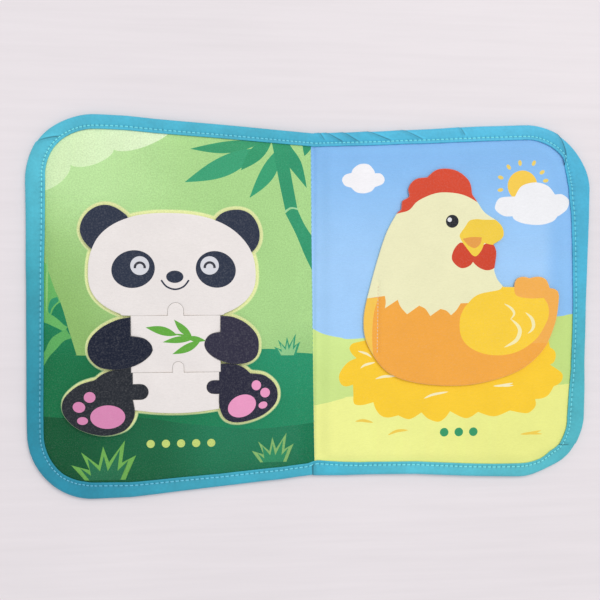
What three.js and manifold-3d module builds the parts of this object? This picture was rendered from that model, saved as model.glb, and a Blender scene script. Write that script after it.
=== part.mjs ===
// Quiet book: one bound cloth spread lying open, with a felt animal puzzle on the left page
// and a felt hen on a lift flap on the right page. Millimetres, +X across the spread,
// +Y up the page, +Z out of the page, with the origin under the middle of the fold.

import * as THREE from 'three';
import Module from 'manifold-3d';
import { mergeVertices } from 'three/addons/utils/BufferGeometryUtils.js';

const wasm = await Module();
wasm.setup();

// Page outline
const PAGE_WIDTH = 182;          // from the fold to the outer edge of the binding
const FOLD_HEIGHT = 221;         // height of the book along its fold
const PAGE_FLARE = 0.068;        // rise of the long edges per millimetre away from the fold
const CORNER_RADIUS = 41;        // outer corners of the binding

// Cloth layers
const BACK_FELT = 1.0;
const PADDING = 2.0;
const FRONT_FELT = 1.2;
const LAYER_GAP = 0.1;           // air between two cloth layers

// Binding tape
const TAPE_WIDTH = 10;           // how far the tape reaches over the page, front and back
const TAPE_THICKNESS = 0.6;
const TAPE_NOSE = 1.3;           // rounding of the folded outer edge
const FELT_INSET = 1.0;          // from the tape's outer edge to the cut edge of the felts
const PAGE_RISE = 6;             // from the tape's inner edge to the full height of the page

// Fold between the pages
const FOLD_HALF = 3;             // half the width of the sewn fold
const FOLD_VALLEY = 0.8;         // depth of the groove that the fold line is sewn in
const FOLD_RISE = 9;             // from the sewn fold to the full height of the page
const SEAM_GAP = 0.3;            // between two pieces of cloth that meet edge to edge

// Hook-and-loop dots
const DOT_RADIUS = 7.5;
const DOT_THICKNESS = 0.7;
const DOT_GAP = 0.05;

// Puzzle animal, in its own frame: origin in the middle of the cut between head and torso
const PUZZLE_INWARD = 3;         // from the middle of the page towards the fold
const PUZZLE_X = PUZZLE_INWARD - PAGE_WIDTH / 2;
const PUZZLE_Y = -5.6;
const PIECE_FELT = 1.6;
const PIECE_GAP = 0.35;          // die-cut clearance between neighbouring pieces
const HEAD_HALF_WIDTH = 52.3;
const HEAD_SHIFT = -1.8;         // middle of the head from the middle of the neck
const HEAD_WIDEST = 25.9;        // height of the widest line over the cut
const HEAD_CROWN = 38.7;         // from the widest line up to the top
const HEAD_SQUARENESS = 2.37;    // exponent of the head's rounded outline
const EAR_RADIUS = 15.2;
const EAR_INSET = 11.7;          // from the head's widest side in to the middle of the ear
const EAR_RISE = 27.3;           // from the head's widest line up to the middle of the ear
const TORSO_WIDTH = 56;
const TORSO_HEIGHT = 35.8;
const NECK_TAB_WIDTH = 9.6;
const NECK_TAB_REACH = 8.2;
const BELLY_WIDTH = 54;
const BELLY_HEIGHT = 26;
const BELLY_SAG = 2.2;           // bow of the belly's lower edge
const BELLY_TAB_WIDTH = 6.8;
const BELLY_TAB_REACH = 7;
const BELLY_TAB_X = 1.4;

// The two arms and legs as [outward from the body's side, up], from shoulder or hip.
const ARMS = {
  left: [[0, -0.9], [8, -2.4], [18, -7.4], [25.2, -15.2], [26, -24.5], [20.3, -31.5], [12, -33.6],
    [2, -32.8], [-8, -28.4], [-13.7, -21.6], [-9.4, -14.9], [0, -12.9]],
  right: [[0, -0.3], [8, -1.1], [17, -5.8], [23.4, -14], [23.2, -24.6], [17.5, -29.8], [8.5, -30.8],
    [0, -28.6], [-7.6, -23.8], [-10.2, -17.9], [-7, -12.4], [0, -10.5]],
};
const THIGHS = {
  left: [[0, 3.2], [11, 1.6], [18.3, -0.8], [23.5, -4.6]],
  right: [[0, 4.8], [9.1, 4.6], [15.4, 2.3], [19.6, -1.4]],
};
const FEET = {
  left: [[23.5, -4.6], [34, -8.2], [42.6, -16.4], [42.8, -26], [34, -35.2], [19, -39.8], [5.5, -36.9],
    [-0.9, -28], [0, -17.6]],
  right: [[19.6, -1.4], [29, -3], [36.2, -10.2], [36, -20], [27, -28.4], [13.2, -32.6], [4, -30.6],
    [0.2, -23], [0, -14.2]],
};
const LEG_TABS = {
  left: { width: 9.6, reach: 9.8, drop: 12.4 },
  right: { width: 8.3, reach: 8, drop: 9.9 },
};

// Middle of each piece's dot, in the puzzle's frame
const DOT_PLACES = {
  head: [0, 27],
  torso: [1.6, -13.5],
  belly: [1, -49],
  left_arm: [-40, -19],
  right_arm: [39, -17],
  left_leg: [-49, -57],
  right_leg: [46, -53],
};

// Hen, in its own frame: origin on the sewn line that it opens about
const HEN_X = 41.8;
const HEN_FELT = 1.6;
const HEN_GAP = 0.15;            // air between the flap and the page
const HEN_OUTLINE = {
  comb_back: [[12, 60.2], [14.8, 65], [19.3, 72.3]],
  comb_middle: [[19.3, 72.3], [19.6, 77], [24, 81.8], [31.5, 83]],
  comb_front: [[31.5, 83], [38.5, 88.2], [50, 87.8], [59, 81.2], [61.4, 72.4]],
  brow: [[61.4, 72.4], [65.1, 67], [69.8, 60.6], [78.3, 55], [82.1, 50.2], [82.2, 44.4],
    [75.9, 40]],
  wattle: [[75.9, 40], [77.9, 34.5], [76.6, 23.2]],
  chest: [[76.6, 23.2], [78.5, 17.6], [82.9, 12.2]],
  back: [[82.9, 12.2], [90.2, 12]],
  tail_front: [[90.2, 12], [91.4, 17], [96, 18.8], [100.6, 17.9]],
  tail_middle: [[100.6, 17.9], [106.4, 18.8], [111.6, 17], [114.4, 11.2]],
  tail_rear: [[114.4, 11.2], [119.4, 9.8], [120.6, 3.6], [118, -13], [109.6, -30.6], [92, -44.2],
    [62, -52], [30, -51.1], [6.9, -43.5], [-6.5, -25.9], [-9.6, -9.1], [-5.5, 12.4], [4, 44.5],
    [12, 60.2]],
};

const CURVE_STEP = 3;            // length of one facet along a curved outline
const CORNER_STEPS = 8;          // facets in each rounded corner of the page
const ROUND_STEPS = 28;          // facets round a dot or an ear
const TAB_STEPS = 8;             // facets round the end of a tab
const MARK_SPACING = 0.5;        // least distance between two points along the fold
const MARK_STEPS = [0, 0.5, 1, 2];       // those points, in page rises from the tape
const RISE_STEPS = [0.25, 0.5, 0.75, 1]; // rings of a layer between the rim and its full height
const RIM_STEP = 0.08;           // share of the fold's rise that lies over the rim's inner ring
const CREASE_SHARE = 0.3;        // width of the groove's floor and of the tape's rounded edge
const ROUNDED_STEPS = 72;        // facets round the head

// Heights that follow from the layers
const RIM_STACK = BACK_FELT + FRONT_FELT + 2 * LAYER_GAP;
const RIM_BOTTOM = TAPE_THICKNESS + LAYER_GAP;
const TAPE_TOP = RIM_BOTTOM + RIM_STACK + LAYER_GAP + TAPE_THICKNESS;
const PAGE_TOP = RIM_STACK + PADDING;
const LOOP_BOTTOM = PAGE_TOP + DOT_GAP;
const HOOK_BOTTOM = LOOP_BOTTOM + DOT_THICKNESS + DOT_GAP;
const PIECE_BOTTOM = HOOK_BOTTOM + DOT_THICKNESS + DOT_GAP;
const HEN_BOTTOM = PAGE_TOP + HEN_GAP;

const FELT_LOOK = { roughness: 0.95, metalness: 0 };
const COLOURS = {
  tape: 0x3fb0cf,
  left_print: 0x8fce86,
  right_print: 0x8fc3f5,
  back: 0x49b3d0,
  padding: 0xf2f0ea,
  fold: 0x6fb9a8,
  loop: 0xe6e6e2,
  hook: 0xd2d2cc,
  white: 0xece7e2,
  black: 0x30323f,
  hen: 0xf2a54a,
};

const book = new THREE.Group();

function addPiece(name, geometry, colour) {
  const plain = geometry.index ? geometry.toNonIndexed() : geometry;
  plain.computeVertexNormals();
  const material = new THREE.MeshStandardMaterial({ color: colour, ...FELT_LOOK });
  const mesh = new THREE.Mesh(plain, material);
  mesh.name = name;
  book.add(mesh);
  return mesh;
}

// Outlines

function smooth(points) {
  const curve = new THREE.SplineCurve(points.map(([x, y]) => new THREE.Vector2(x, y)));
  const steps = Math.max(1, Math.round(curve.getLength() / CURVE_STEP));
  return curve.getSpacedPoints(steps).map((p) => [p.x, p.y]);
}

// Joins stretches that end where the next one starts into one closed outline.
function joined(stretches) {
  return stretches.flatMap((stretch) => stretch.slice(0, -1));
}

function arc(cx, cy, radius, from, to, steps) {
  const points = [];
  for (let i = 0; i <= steps; i += 1) {
    const angle = from + ((to - from) * i) / steps;
    points.push([cx + radius * Math.cos(angle), cy + radius * Math.sin(angle)]);
  }
  return points;
}

function signedArea(points) {
  let sum = 0;
  points.forEach(([x, y], i) => {
    const [nx, ny] = points[(i + 1) % points.length];
    sum += x * ny - nx * y;
  });
  return sum / 2;
}

function anticlockwise(points) {
  return signedArea(points) > 0 ? points : [...points].reverse();
}

// The outline moved outwards by a clearance, with its corners mitred.
function grown(points, clearance) {
  const ring = anticlockwise(points);
  const outward = ring.map(([x, y], i) => {
    const [nx, ny] = ring[(i + 1) % ring.length];
    const length = Math.hypot(nx - x, ny - y);
    return [(ny - y) / length, (x - nx) / length];
  });
  return ring.map(([x, y], i) => {
    const [ax, ay] = outward[(i + ring.length - 1) % ring.length];
    const [bx, by] = outward[i];
    const share = clearance / Math.max(0.3, 1 + ax * bx + ay * by);
    return [x + (ax + bx) * share, y + (ay + by) * share];
  });
}

function rectangle(x0, y0, x1, y1) {
  return [[x0, y0], [x1, y0], [x1, y1], [x0, y1]];
}

// A tab that leaves (x, y) in the direction of the angle and ends in a half round.
function tab(x, y, angle, width, reach) {
  const half = width / 2;
  const end = arc(reach - half, 0, half, -Math.PI / 2, Math.PI / 2, TAB_STEPS);
  const root = -half;
  return [[root, -half], ...end, [root, half]].map(([u, v]) => [
    x + u * Math.cos(angle) - v * Math.sin(angle),
    y + u * Math.sin(angle) + v * Math.cos(angle),
  ]);
}

// Solids

function solidOf(geometry) {
  const bare = geometry.clone();
  bare.deleteAttribute('normal');
  bare.deleteAttribute('uv');
  const merged = mergeVertices(bare, 1e-4);
  const triVerts = new Uint32Array(merged.index.array);
  const vertProperties = new Float32Array(merged.attributes.position.array);
  return new wasm.Manifold(new wasm.Mesh({ numProp: 3, vertProperties, triVerts }));
}

function geometryOf(solid) {
  const mesh = solid.getMesh();
  const geometry = new THREE.BufferGeometry();
  geometry.setAttribute('position', new THREE.BufferAttribute(mesh.vertProperties, 3));
  geometry.setIndex(new THREE.BufferAttribute(mesh.triVerts, 1));
  return geometry;
}

function slab(points, bottom, thickness) {
  const shape = new THREE.Shape(anticlockwise(points).map(([x, y]) => new THREE.Vector2(x, y)));
  const geometry = new THREE.ExtrudeGeometry(shape, { depth: thickness, bevelEnabled: false });
  geometry.translate(0, 0, bottom);
  return solidOf(geometry);
}

function closedMesh(vertices, triangles) {
  const geometry = new THREE.BufferGeometry();
  geometry.setAttribute('position', new THREE.Float32BufferAttribute(vertices.flat(), 3));
  geometry.setIndex(triangles.flat());
  return geometry;
}

// Triangles over a contour, turning the same way as the contour does.
function fill(points) {
  const faces = THREE.ShapeUtils.triangulateShape(points.map(([u, v]) => new THREE.Vector2(u, v)), []);
  return signedArea(points) > 0 ? faces : faces.map(([a, b, c]) => [a, c, b]);
}

// A sheet between matching nests of rings, the outermost ring first. The innermost are capped.
function nestedSheet(bottomRings, topRings) {
  const count = topRings[0].length;
  const vertices = [];
  const triangles = [];
  const starts = (rings) => rings.map((ring) => {
    const start = vertices.length;
    vertices.push(...ring);
    return start;
  });
  const band = (outer, inner, up = true) => {
    for (let i = 0; i < count; i += 1) {
      const j = (i + 1) % count;
      const faces = [[outer + i, outer + j, inner + j], [outer + i, inner + j, inner + i]];
      triangles.push(...(up ? faces : faces.map(([a, b, c]) => [a, c, b])));
    }
  };
  const tops = starts(topRings);
  const bottoms = starts(bottomRings);
  for (let k = 0; k + 1 < tops.length; k += 1) {
    band(tops[k], tops[k + 1]);
    band(bottoms[k], bottoms[k + 1], false);
  }
  band(bottoms[0], tops[0]);
  const topStart = tops[tops.length - 1];
  const bottomStart = bottoms[bottoms.length - 1];
  fill(topRings[topRings.length - 1]).forEach(([a, b, c]) => {
    triangles.push([topStart + a, topStart + b, topStart + c]);
    triangles.push([bottomStart + a, bottomStart + c, bottomStart + b]);
  });
  return closedMesh(vertices, triangles);
}

// A closed section carried along stations that hold one point for each point of the section.
function carried(stations) {
  const count = stations[0].length;
  const vertices = stations.flat();
  const triangles = [];
  for (let s = 0; s + 1 < stations.length; s += 1) {
    for (let i = 0; i < count; i += 1) {
      const j = (i + 1) % count;
      const [a, b] = [s * count + i, s * count + j];
      const [c, d] = [a + count, b + count];
      triangles.push([a, b, d], [a, d, c]);
    }
  }
  return { vertices, triangles, count };
}

function withEnds({ vertices, triangles, count }, section) {
  const last = vertices.length - count;
  fill(section).forEach(([a, b, c]) => {
    triangles.push([a, c, b]);
    triangles.push([last + a, last + b, last + c]);
  });
  const geometry = closedMesh(vertices, triangles);
  const solid = solidOf(geometry);
  if (solid.volume() > 0) return geometry;
  return closedMesh(vertices, triangles.map(([a, b, c]) => [a, c, b]));
}

// Page shape

// The right page's outline, drawn in from its outer edges by inset and starting at x = start.
// It runs from the fold's lower end round the outer edge to the fold's upper end.
function pageEdge(inset, start) {
  const slope = Math.atan(PAGE_FLARE);
  const radius = CORNER_RADIUS;
  const centreX = PAGE_WIDTH - radius;
  const edgeAt = (x, drop) => FOLD_HEIGHT / 2 + PAGE_FLARE * x - drop / Math.cos(slope);
  const centreY = edgeAt(centreX, radius);
  const corner = arc(centreX, centreY, radius - inset, 0, Math.PI / 2 + slope, CORNER_STEPS);
  const upper = [[start, edgeAt(start, inset)]];
  const middle = (start + centreX) / 2;
  upper.push([middle, edgeAt(middle, inset)]);
  const top = [...corner, ...upper.reverse()];
  const bottom = top.map(([x, y]) => [x, -y]).reverse();
  return [...bottom, ...top];
}

// The outline of a page, with points along the fold where the page rises from under the tape.
function pageRing(inset, start) {
  const edge = pageEdge(inset, start);
  const [x, high] = edge[edge.length - 1];
  const depths = MARK_STEPS.map((step, k) => {
    const wanted = TAPE_WIDTH + SEAM_GAP + PAGE_RISE * step;
    return Math.max(wanted, inset + MARK_SPACING * (k + 1)) - inset;
  });
  const upper = depths.map((depth) => [x, high - depth]);
  const lower = upper.map(([px, py]) => [px, -py]).reverse();
  return [...edge, ...upper, ...lower];
}

function share(distance, from, length) {
  return THREE.MathUtils.smoothstep(distance, from, from + length);
}

// How far a point lies inside the outer edge of its page, measured across the nearest edge.
function insideEdge(x, y) {
  const slope = Math.atan(PAGE_FLARE);
  const toLong = (FOLD_HEIGHT / 2 + PAGE_FLARE * x - Math.abs(y)) * Math.cos(slope);
  const toSide = PAGE_WIDTH - x;
  const centreX = PAGE_WIDTH - CORNER_RADIUS;
  const centreY = FOLD_HEIGHT / 2 + PAGE_FLARE * centreX - CORNER_RADIUS / Math.cos(slope);
  if (x > centreX && Math.abs(y) > centreY) {
    return CORNER_RADIUS - Math.hypot(x - centreX, Math.abs(y) - centreY);
  }
  return Math.min(toLong, toSide);
}

function clearOfTape(x, y) {
  return share(insideEdge(x, y), TAPE_WIDTH + SEAM_GAP, PAGE_RISE);
}

function fullness(x, y) {
  return clearOfTape(x, y) * share(x, FOLD_HALF + SEAM_GAP, FOLD_RISE);
}

// Heights of the layers' faces over the table
const FACES = {
  backBottom: (x, y) => RIM_BOTTOM * (1 - clearOfTape(x, y)),
  backTop: (x, y) => FACES.backBottom(x, y) + BACK_FELT,
  paddingBottom: (x, y) => FACES.backTop(x, y) + LAYER_GAP,
  paddingTop: (x, y) => FACES.paddingBottom(x, y) + PADDING * fullness(x, y),
  frontBottom: (x, y) => FACES.paddingTop(x, y) + LAYER_GAP,
  frontTop: (x, y) => FACES.frontBottom(x, y) + FRONT_FELT,
};

// Rings of a felt as [inset from the outer edge, inset from the fold]
const INNER_RINGS = RISE_STEPS.map((step) => [
  TAPE_WIDTH + SEAM_GAP + PAGE_RISE * step,
  FOLD_HALF + SEAM_GAP + FOLD_RISE * step,
]);
const FELT_RINGS = [
  [FELT_INSET, FOLD_HALF + SEAM_GAP],
  [TAPE_WIDTH + SEAM_GAP, FOLD_HALF + SEAM_GAP + FOLD_RISE * RIM_STEP],
  ...INNER_RINGS,
];

function layer(rings, bottom, top, side) {
  const lifted = (height) => rings.map(([inset, start]) => pageRing(inset, start)
    .map(([x, y]) => [side * x, y, height(x, y)]));
  const geometry = nestedSheet(lifted(bottom), lifted(top));
  if (side > 0) return geometry;
  const flipped = [];
  const index = geometry.index.array;
  for (let i = 0; i < index.length; i += 3) {
    flipped.push(index[i], index[i + 2], index[i + 1]);
  }
  geometry.setIndex(flipped);
  return geometry;
}

function tapeSection() {
  const t = TAPE_THICKNESS;
  const bevel = TAPE_NOSE * CREASE_SHARE;
  const outer = [
    [TAPE_WIDTH, 0], [TAPE_NOSE, 0], [bevel, bevel], [0, TAPE_NOSE],
    [0, TAPE_TOP - TAPE_NOSE], [bevel, TAPE_TOP - bevel], [TAPE_NOSE, TAPE_TOP],
    [TAPE_WIDTH, TAPE_TOP],
  ];
  const inner = [
    [TAPE_WIDTH, TAPE_TOP - t], [t + LAYER_GAP, TAPE_TOP - t],
    [t, TAPE_TOP - TAPE_NOSE], [t, TAPE_NOSE], [t + LAYER_GAP, t], [TAPE_WIDTH, t],
  ];
  return [...outer, ...inner];
}

// The tape round three sides of a page, open towards the felts.
function pageTape(side) {
  const section = tapeSection();
  const edges = section.map(([inset]) => pageEdge(inset, FOLD_HALF + SEAM_GAP));
  const stations = edges[0].map((_, i) => section.map(([, z], k) => {
    const [x, y] = edges[k][i];
    return [side * x, y, z];
  }));
  return withEnds(carried(stations), section);
}

// The short length of tape that crosses the fold.
function foldTape(end) {
  const section = tapeSection();
  const slope = Math.atan(PAGE_FLARE);
  const stations = [-FOLD_HALF, 0, FOLD_HALF].map((x) => section.map(([inset, z]) => {
    const edge = FOLD_HEIGHT / 2 + PAGE_FLARE * Math.abs(x);
    return [x, end * (edge - inset / Math.cos(slope)), z];
  }));
  return withEnds(carried(stations), section);
}

// The felts sewn flat along the fold, with a groove down the middle.
function foldStrip() {
  const tapeEdge = FOLD_HEIGHT / 2 - TAPE_WIDTH - SEAM_GAP;
  const levels = [FOLD_HEIGHT / 2 - FELT_INSET - SEAM_GAP, tapeEdge, tapeEdge - PAGE_RISE / 2,
    tapeEdge - PAGE_RISE];
  const ys = [...levels.map((y) => -y), ...levels.reverse()];
  const section = (y) => {
    const base = FACES.backBottom(0, y);
    const valley = base + RIM_STACK - FOLD_VALLEY;
    const top = base + RIM_STACK;
    const half = FOLD_HALF;
    const floor = half * CREASE_SHARE;
    return [[-half, base], [half, base], [half, top], [floor, valley], [-floor, valley],
      [-half, top]];
  };
  const stations = ys.map((y) => section(y).map(([x, z]) => [x, y, z]));
  return withEnds(carried(stations), section(0));
}

// Puzzle

function headOutline() {
  const jaw = HEAD_WIDEST / (1 - (TORSO_WIDTH / 2 / HEAD_HALF_WIDTH) ** HEAD_SQUARENESS)
    ** (1 / HEAD_SQUARENESS);
  const power = 2 / HEAD_SQUARENESS;
  const bend = (value) => Math.sign(value) * Math.abs(value) ** power;
  return arc(0, 0, 1, 0, 2 * Math.PI, ROUNDED_STEPS).slice(0, -1).map(([c, s]) => [
    HEAD_SHIFT + HEAD_HALF_WIDTH * bend(c),
    HEAD_WIDEST + (s > 0 ? HEAD_CROWN : jaw) * bend(s),
  ]);
}

function armOutline(side) {
  const out = side === 'left' ? -1 : 1;
  return smooth(ARMS[side]).map(([u, v]) => [out * (TORSO_WIDTH / 2 + PIECE_GAP + u), v]);
}

function legOutline(side) {
  const out = side === 'left' ? -1 : 1;
  const stretches = [smooth(THIGHS[side]), smooth(FEET[side])];
  return joined([...stretches, [FEET[side][FEET[side].length - 1], THIGHS[side][0]]])
    .map(([u, v]) => [out * (BELLY_WIDTH / 2 + PIECE_GAP + u), v - TORSO_HEIGHT]);
}

function legTab(side) {
  const out = side === 'left' ? -1 : 1;
  const { width, reach, drop } = LEG_TABS[side];
  const hip = out * (BELLY_WIDTH / 2 + PIECE_GAP);
  return tab(hip, -TORSO_HEIGHT - drop, out > 0 ? Math.PI : 0, width, reach);
}

function bellyOutline() {
  const half = BELLY_WIDTH / 2;
  const top = -TORSO_HEIGHT - PIECE_GAP;
  const low = -TORSO_HEIGHT - BELLY_HEIGHT;
  const bow = smooth([[-half, low + BELLY_SAG], [-half / 2, low + BELLY_SAG / 4], [0, low],
    [half / 2, low + BELLY_SAG / 4], [half, low + BELLY_SAG]]);
  return [...bow, [half, top], [-half, top]];
}

const OUTLINES = {
  torso: rectangle(-TORSO_WIDTH / 2, -TORSO_HEIGHT, TORSO_WIDTH / 2, 0),
  neckTab: tab(0, 0, Math.PI / 2, NECK_TAB_WIDTH, NECK_TAB_REACH),
  bellyTab: tab(BELLY_TAB_X, -TORSO_HEIGHT - PIECE_GAP, Math.PI / 2, BELLY_TAB_WIDTH,
    BELLY_TAB_REACH),
  belly: bellyOutline(),
  arms: { left: armOutline('left'), right: armOutline('right') },
  legs: { left: legOutline('left'), right: legOutline('right') },
  legTabs: { left: legTab('left'), right: legTab('right') },
};

function puzzleSlab(points) {
  const placed = points.map(([x, y]) => [x + PUZZLE_X, y + PUZZLE_Y]);
  return slab(placed, PIECE_BOTTOM, PIECE_FELT);
}

// The room that a neighbour takes, with the clearance round it, through the whole felt.
function room(points) {
  const placed = grown(points, PIECE_GAP).map(([x, y]) => [x + PUZZLE_X, y + PUZZLE_Y]);
  return slab(placed, PIECE_BOTTOM - PIECE_FELT, 3 * PIECE_FELT);
}

function below(y) {
  const reach = 2 * HEAD_HALF_WIDTH;
  return room(rectangle(-reach, y - reach, reach, y));
}

function headPiece() {
  let solid = puzzleSlab(headOutline());
  [-1, 1].forEach((side) => {
    const x = HEAD_SHIFT + side * (HEAD_HALF_WIDTH - EAR_INSET);
    const y = HEAD_WIDEST + EAR_RISE;
    const ear = arc(x, y, EAR_RADIUS, 0, 2 * Math.PI, ROUND_STEPS).slice(0, -1);
    solid = solid.add(puzzleSlab(ear));
  });
  return solid.subtract(below(0)).subtract(room(OUTLINES.neckTab));
}

function torsoPiece() {
  let solid = puzzleSlab(OUTLINES.torso).add(puzzleSlab(OUTLINES.neckTab));
  solid = solid.subtract(room(OUTLINES.bellyTab));
  ['left', 'right'].forEach((side) => {
    solid = solid.subtract(room(OUTLINES.arms[side]));
  });
  return solid;
}

function bellyPiece() {
  let solid = puzzleSlab(OUTLINES.belly).add(puzzleSlab(OUTLINES.bellyTab));
  ['left', 'right'].forEach((side) => {
    solid = solid.subtract(room(OUTLINES.legTabs[side]));
    solid = solid.subtract(room(OUTLINES.legs[side]));
  });
  return solid;
}

function legPiece(side) {
  const solid = puzzleSlab(OUTLINES.legs[side]).add(puzzleSlab(OUTLINES.legTabs[side]));
  return solid.subtract(room(OUTLINES.arms[side])).subtract(room(OUTLINES.torso));
}

const PUZZLE = {
  head: { solid: headPiece(), colour: COLOURS.white },
  torso: { solid: torsoPiece(), colour: COLOURS.white },
  belly: { solid: bellyPiece(), colour: COLOURS.white },
  left_arm: { solid: puzzleSlab(OUTLINES.arms.left), colour: COLOURS.black },
  right_arm: { solid: puzzleSlab(OUTLINES.arms.right), colour: COLOURS.black },
  left_leg: { solid: legPiece('left'), colour: COLOURS.black },
  right_leg: { solid: legPiece('right'), colour: COLOURS.black },
};

function dot(place, bottom) {
  const geometry = new THREE.CylinderGeometry(DOT_RADIUS, DOT_RADIUS, DOT_THICKNESS, ROUND_STEPS);
  geometry.rotateX(Math.PI / 2);
  geometry.translate(place[0] + PUZZLE_X, place[1] + PUZZLE_Y, bottom + DOT_THICKNESS / 2);
  return geometry;
}

// Hen

function henHalf(side) {
  const outline = joined(Object.values(HEN_OUTLINE).map(smooth)).map(([x, y]) => [x + HEN_X, y]);
  const whole = slab(outline, HEN_BOTTOM, HEN_FELT);
  const line = HEN_X + (side * SEAM_GAP) / 2;
  const reach = side * PAGE_WIDTH;
  const half = rectangle(Math.min(line, line + reach), -FOLD_HEIGHT, Math.max(line, line + reach),
    FOLD_HEIGHT);
  return whole.intersect(slab(half, HEN_BOTTOM - HEN_FELT, 3 * HEN_FELT));
}

// The book

[['left', -1], ['right', 1]].forEach(([name, side]) => {
  const print = side < 0 ? COLOURS.left_print : COLOURS.right_print;
  const front = layer(FELT_RINGS, FACES.frontBottom, FACES.frontTop, side);
  const back = layer(FELT_RINGS, FACES.backBottom, FACES.backTop, side);
  const padding = layer(INNER_RINGS, FACES.paddingBottom, FACES.paddingTop, side);
  addPiece(`${name}_front_felt`, front, print);
  addPiece(`${name}_padding`, padding, COLOURS.padding);
  addPiece(`${name}_back_felt`, back, COLOURS.back);
  addPiece(`${name}_binding`, pageTape(side), COLOURS.tape);
});

addPiece('fold_strip', foldStrip(), COLOURS.fold);
addPiece('fold_binding_top', foldTape(1), COLOURS.tape);
addPiece('fold_binding_bottom', foldTape(-1), COLOURS.tape);

Object.entries(PUZZLE).forEach(([name, { solid, colour }]) => {
  addPiece(`puzzle_${name}`, geometryOf(solid), colour);
  addPiece(`${name}_hook_dot`, dot(DOT_PLACES[name], HOOK_BOTTOM), COLOURS.hook);
  addPiece(`${name}_loop_dot`, dot(DOT_PLACES[name], LOOP_BOTTOM), COLOURS.loop);
});

addPiece('hen_flap', geometryOf(henHalf(1)), COLOURS.hen);
addPiece('hen_sewn_edge', geometryOf(henHalf(-1)), COLOURS.hen);

export default book;
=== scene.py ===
# %% [markdown]
# # A cloth quiet book
# The book lies open: two padded felt pages with a woven tape sewn round them. On the left page lies a
# puzzle cut from felt, and on the right page a felt hen is sewn down along one line, so that it lifts.
# The lesson dresses the solids of the imported model in cloth. It starts with the frame, which says where
# every solid is.

# %% Load the frame
import math

import bpy
import numpy as np
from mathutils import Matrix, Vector, noise
from mathutils.geometry import delaunay_2d_cdt


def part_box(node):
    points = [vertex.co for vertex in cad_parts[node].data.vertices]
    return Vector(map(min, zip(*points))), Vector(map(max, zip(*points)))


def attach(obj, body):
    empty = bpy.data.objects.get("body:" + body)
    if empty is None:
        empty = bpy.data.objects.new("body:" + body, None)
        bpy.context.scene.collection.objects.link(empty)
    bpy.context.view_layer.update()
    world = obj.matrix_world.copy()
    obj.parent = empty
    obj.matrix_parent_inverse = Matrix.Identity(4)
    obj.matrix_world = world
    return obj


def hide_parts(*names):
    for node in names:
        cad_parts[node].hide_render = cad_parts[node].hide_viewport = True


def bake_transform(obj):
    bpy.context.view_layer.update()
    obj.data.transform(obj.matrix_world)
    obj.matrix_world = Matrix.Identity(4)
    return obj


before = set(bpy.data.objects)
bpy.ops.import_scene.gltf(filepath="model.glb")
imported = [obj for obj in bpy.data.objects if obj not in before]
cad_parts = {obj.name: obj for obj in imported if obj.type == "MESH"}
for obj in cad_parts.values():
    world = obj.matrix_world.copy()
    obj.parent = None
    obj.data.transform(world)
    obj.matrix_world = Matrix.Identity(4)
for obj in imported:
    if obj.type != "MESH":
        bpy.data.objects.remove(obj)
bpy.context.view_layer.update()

# %% [markdown]
# ## Camera
# The photographer held the camera half a metre over the table, a little left of the fold and tilted by
# about five degrees. Those numbers come from fitting the book's outline, so the lens is given as it is
# and nothing is shifted.

# %% Camera
camera_data = bpy.data.cameras.new("camera")
camera_data.sensor_width = 36
camera_data.lens = 48.4
camera = bpy.data.objects.new("camera", camera_data)
camera.location = (-0.05494, 0.02989, 0.520)
camera.rotation_euler = (-0.05002, -0.08894, 0.00051)
bpy.context.scene.collection.objects.link(camera)
bpy.context.scene.camera = camera
print("camera at", tuple(camera.location))

# %% [markdown]
# ## Colours and nodes
# Colours are written as the hex values that a picture would show, and turned to the linear values that
# Blender works with. One helper adds a node, sets it and links it.

# %% Colour and node helpers
MM = 0.001  # metres in a millimetre


def linear(hex_colour):
    """The linear red, green, blue and alpha of an sRGB hex colour."""
    parts = [int(hex_colour[i:i + 2], 16) / 255 for i in (1, 3, 5)]
    return tuple(((c + 0.055) / 1.055) ** 2.4 if c > 0.04045 else c / 12.92 for c in parts) + (1.0,)


def between(low, high, share):
    """A hex colour part of the way from low to high."""
    share = float(share)
    a, b = ([int(h[i:i + 2], 16) for i in (1, 3, 5)] for h in (low, high))
    return "#" + "".join(f"{round(p + (q - p) * share):02x}" for p, q in zip(a, b))


def node(tree, kind, inputs=None, **settings):
    """Adds a node with its settings. An input is a value, or a node or socket to link."""
    made = tree.nodes.new(kind)
    for name, value in settings.items():
        setattr(made, name, value)
    for name, value in (inputs or {}).items():
        if isinstance(value, bpy.types.Node):
            value = value.outputs[0]
        if isinstance(value, bpy.types.NodeSocket):
            tree.links.new(value, made.inputs[name])
        else:
            made.inputs[name].default_value = value
    return made


def blank_material(name):
    """A material with only its output, and its node tree."""
    material = bpy.data.materials.new(name)
    material.use_nodes = True
    tree = material.node_tree
    tree.nodes.clear()
    return material, tree, tree.nodes.new("ShaderNodeOutputMaterial")


print("turquoise in linear light:", [round(c, 3) for c in linear("#3fb0cf")[:3]])

# %% [markdown]
# ## Needle felt
# The pages and the puzzle are polyester needle felt: loose fibres punched together and ironed flat,
# then printed. The ink sits on the top fibres, so pale flecks show through dark ink, and the surface is
# matt with a faint fuzz that catches light at a low angle. The colour itself comes from the mesh, where
# each printed shape has its own ink, and the nodes add the fibres, the flecks and the cloudiness. The
# left page took its green ink unevenly, so its tone is mottled as well.
# Fibres are about 0.03 mm thick, which no render of a whole book shows, so they are drawn ten times
# coarser.

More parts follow.
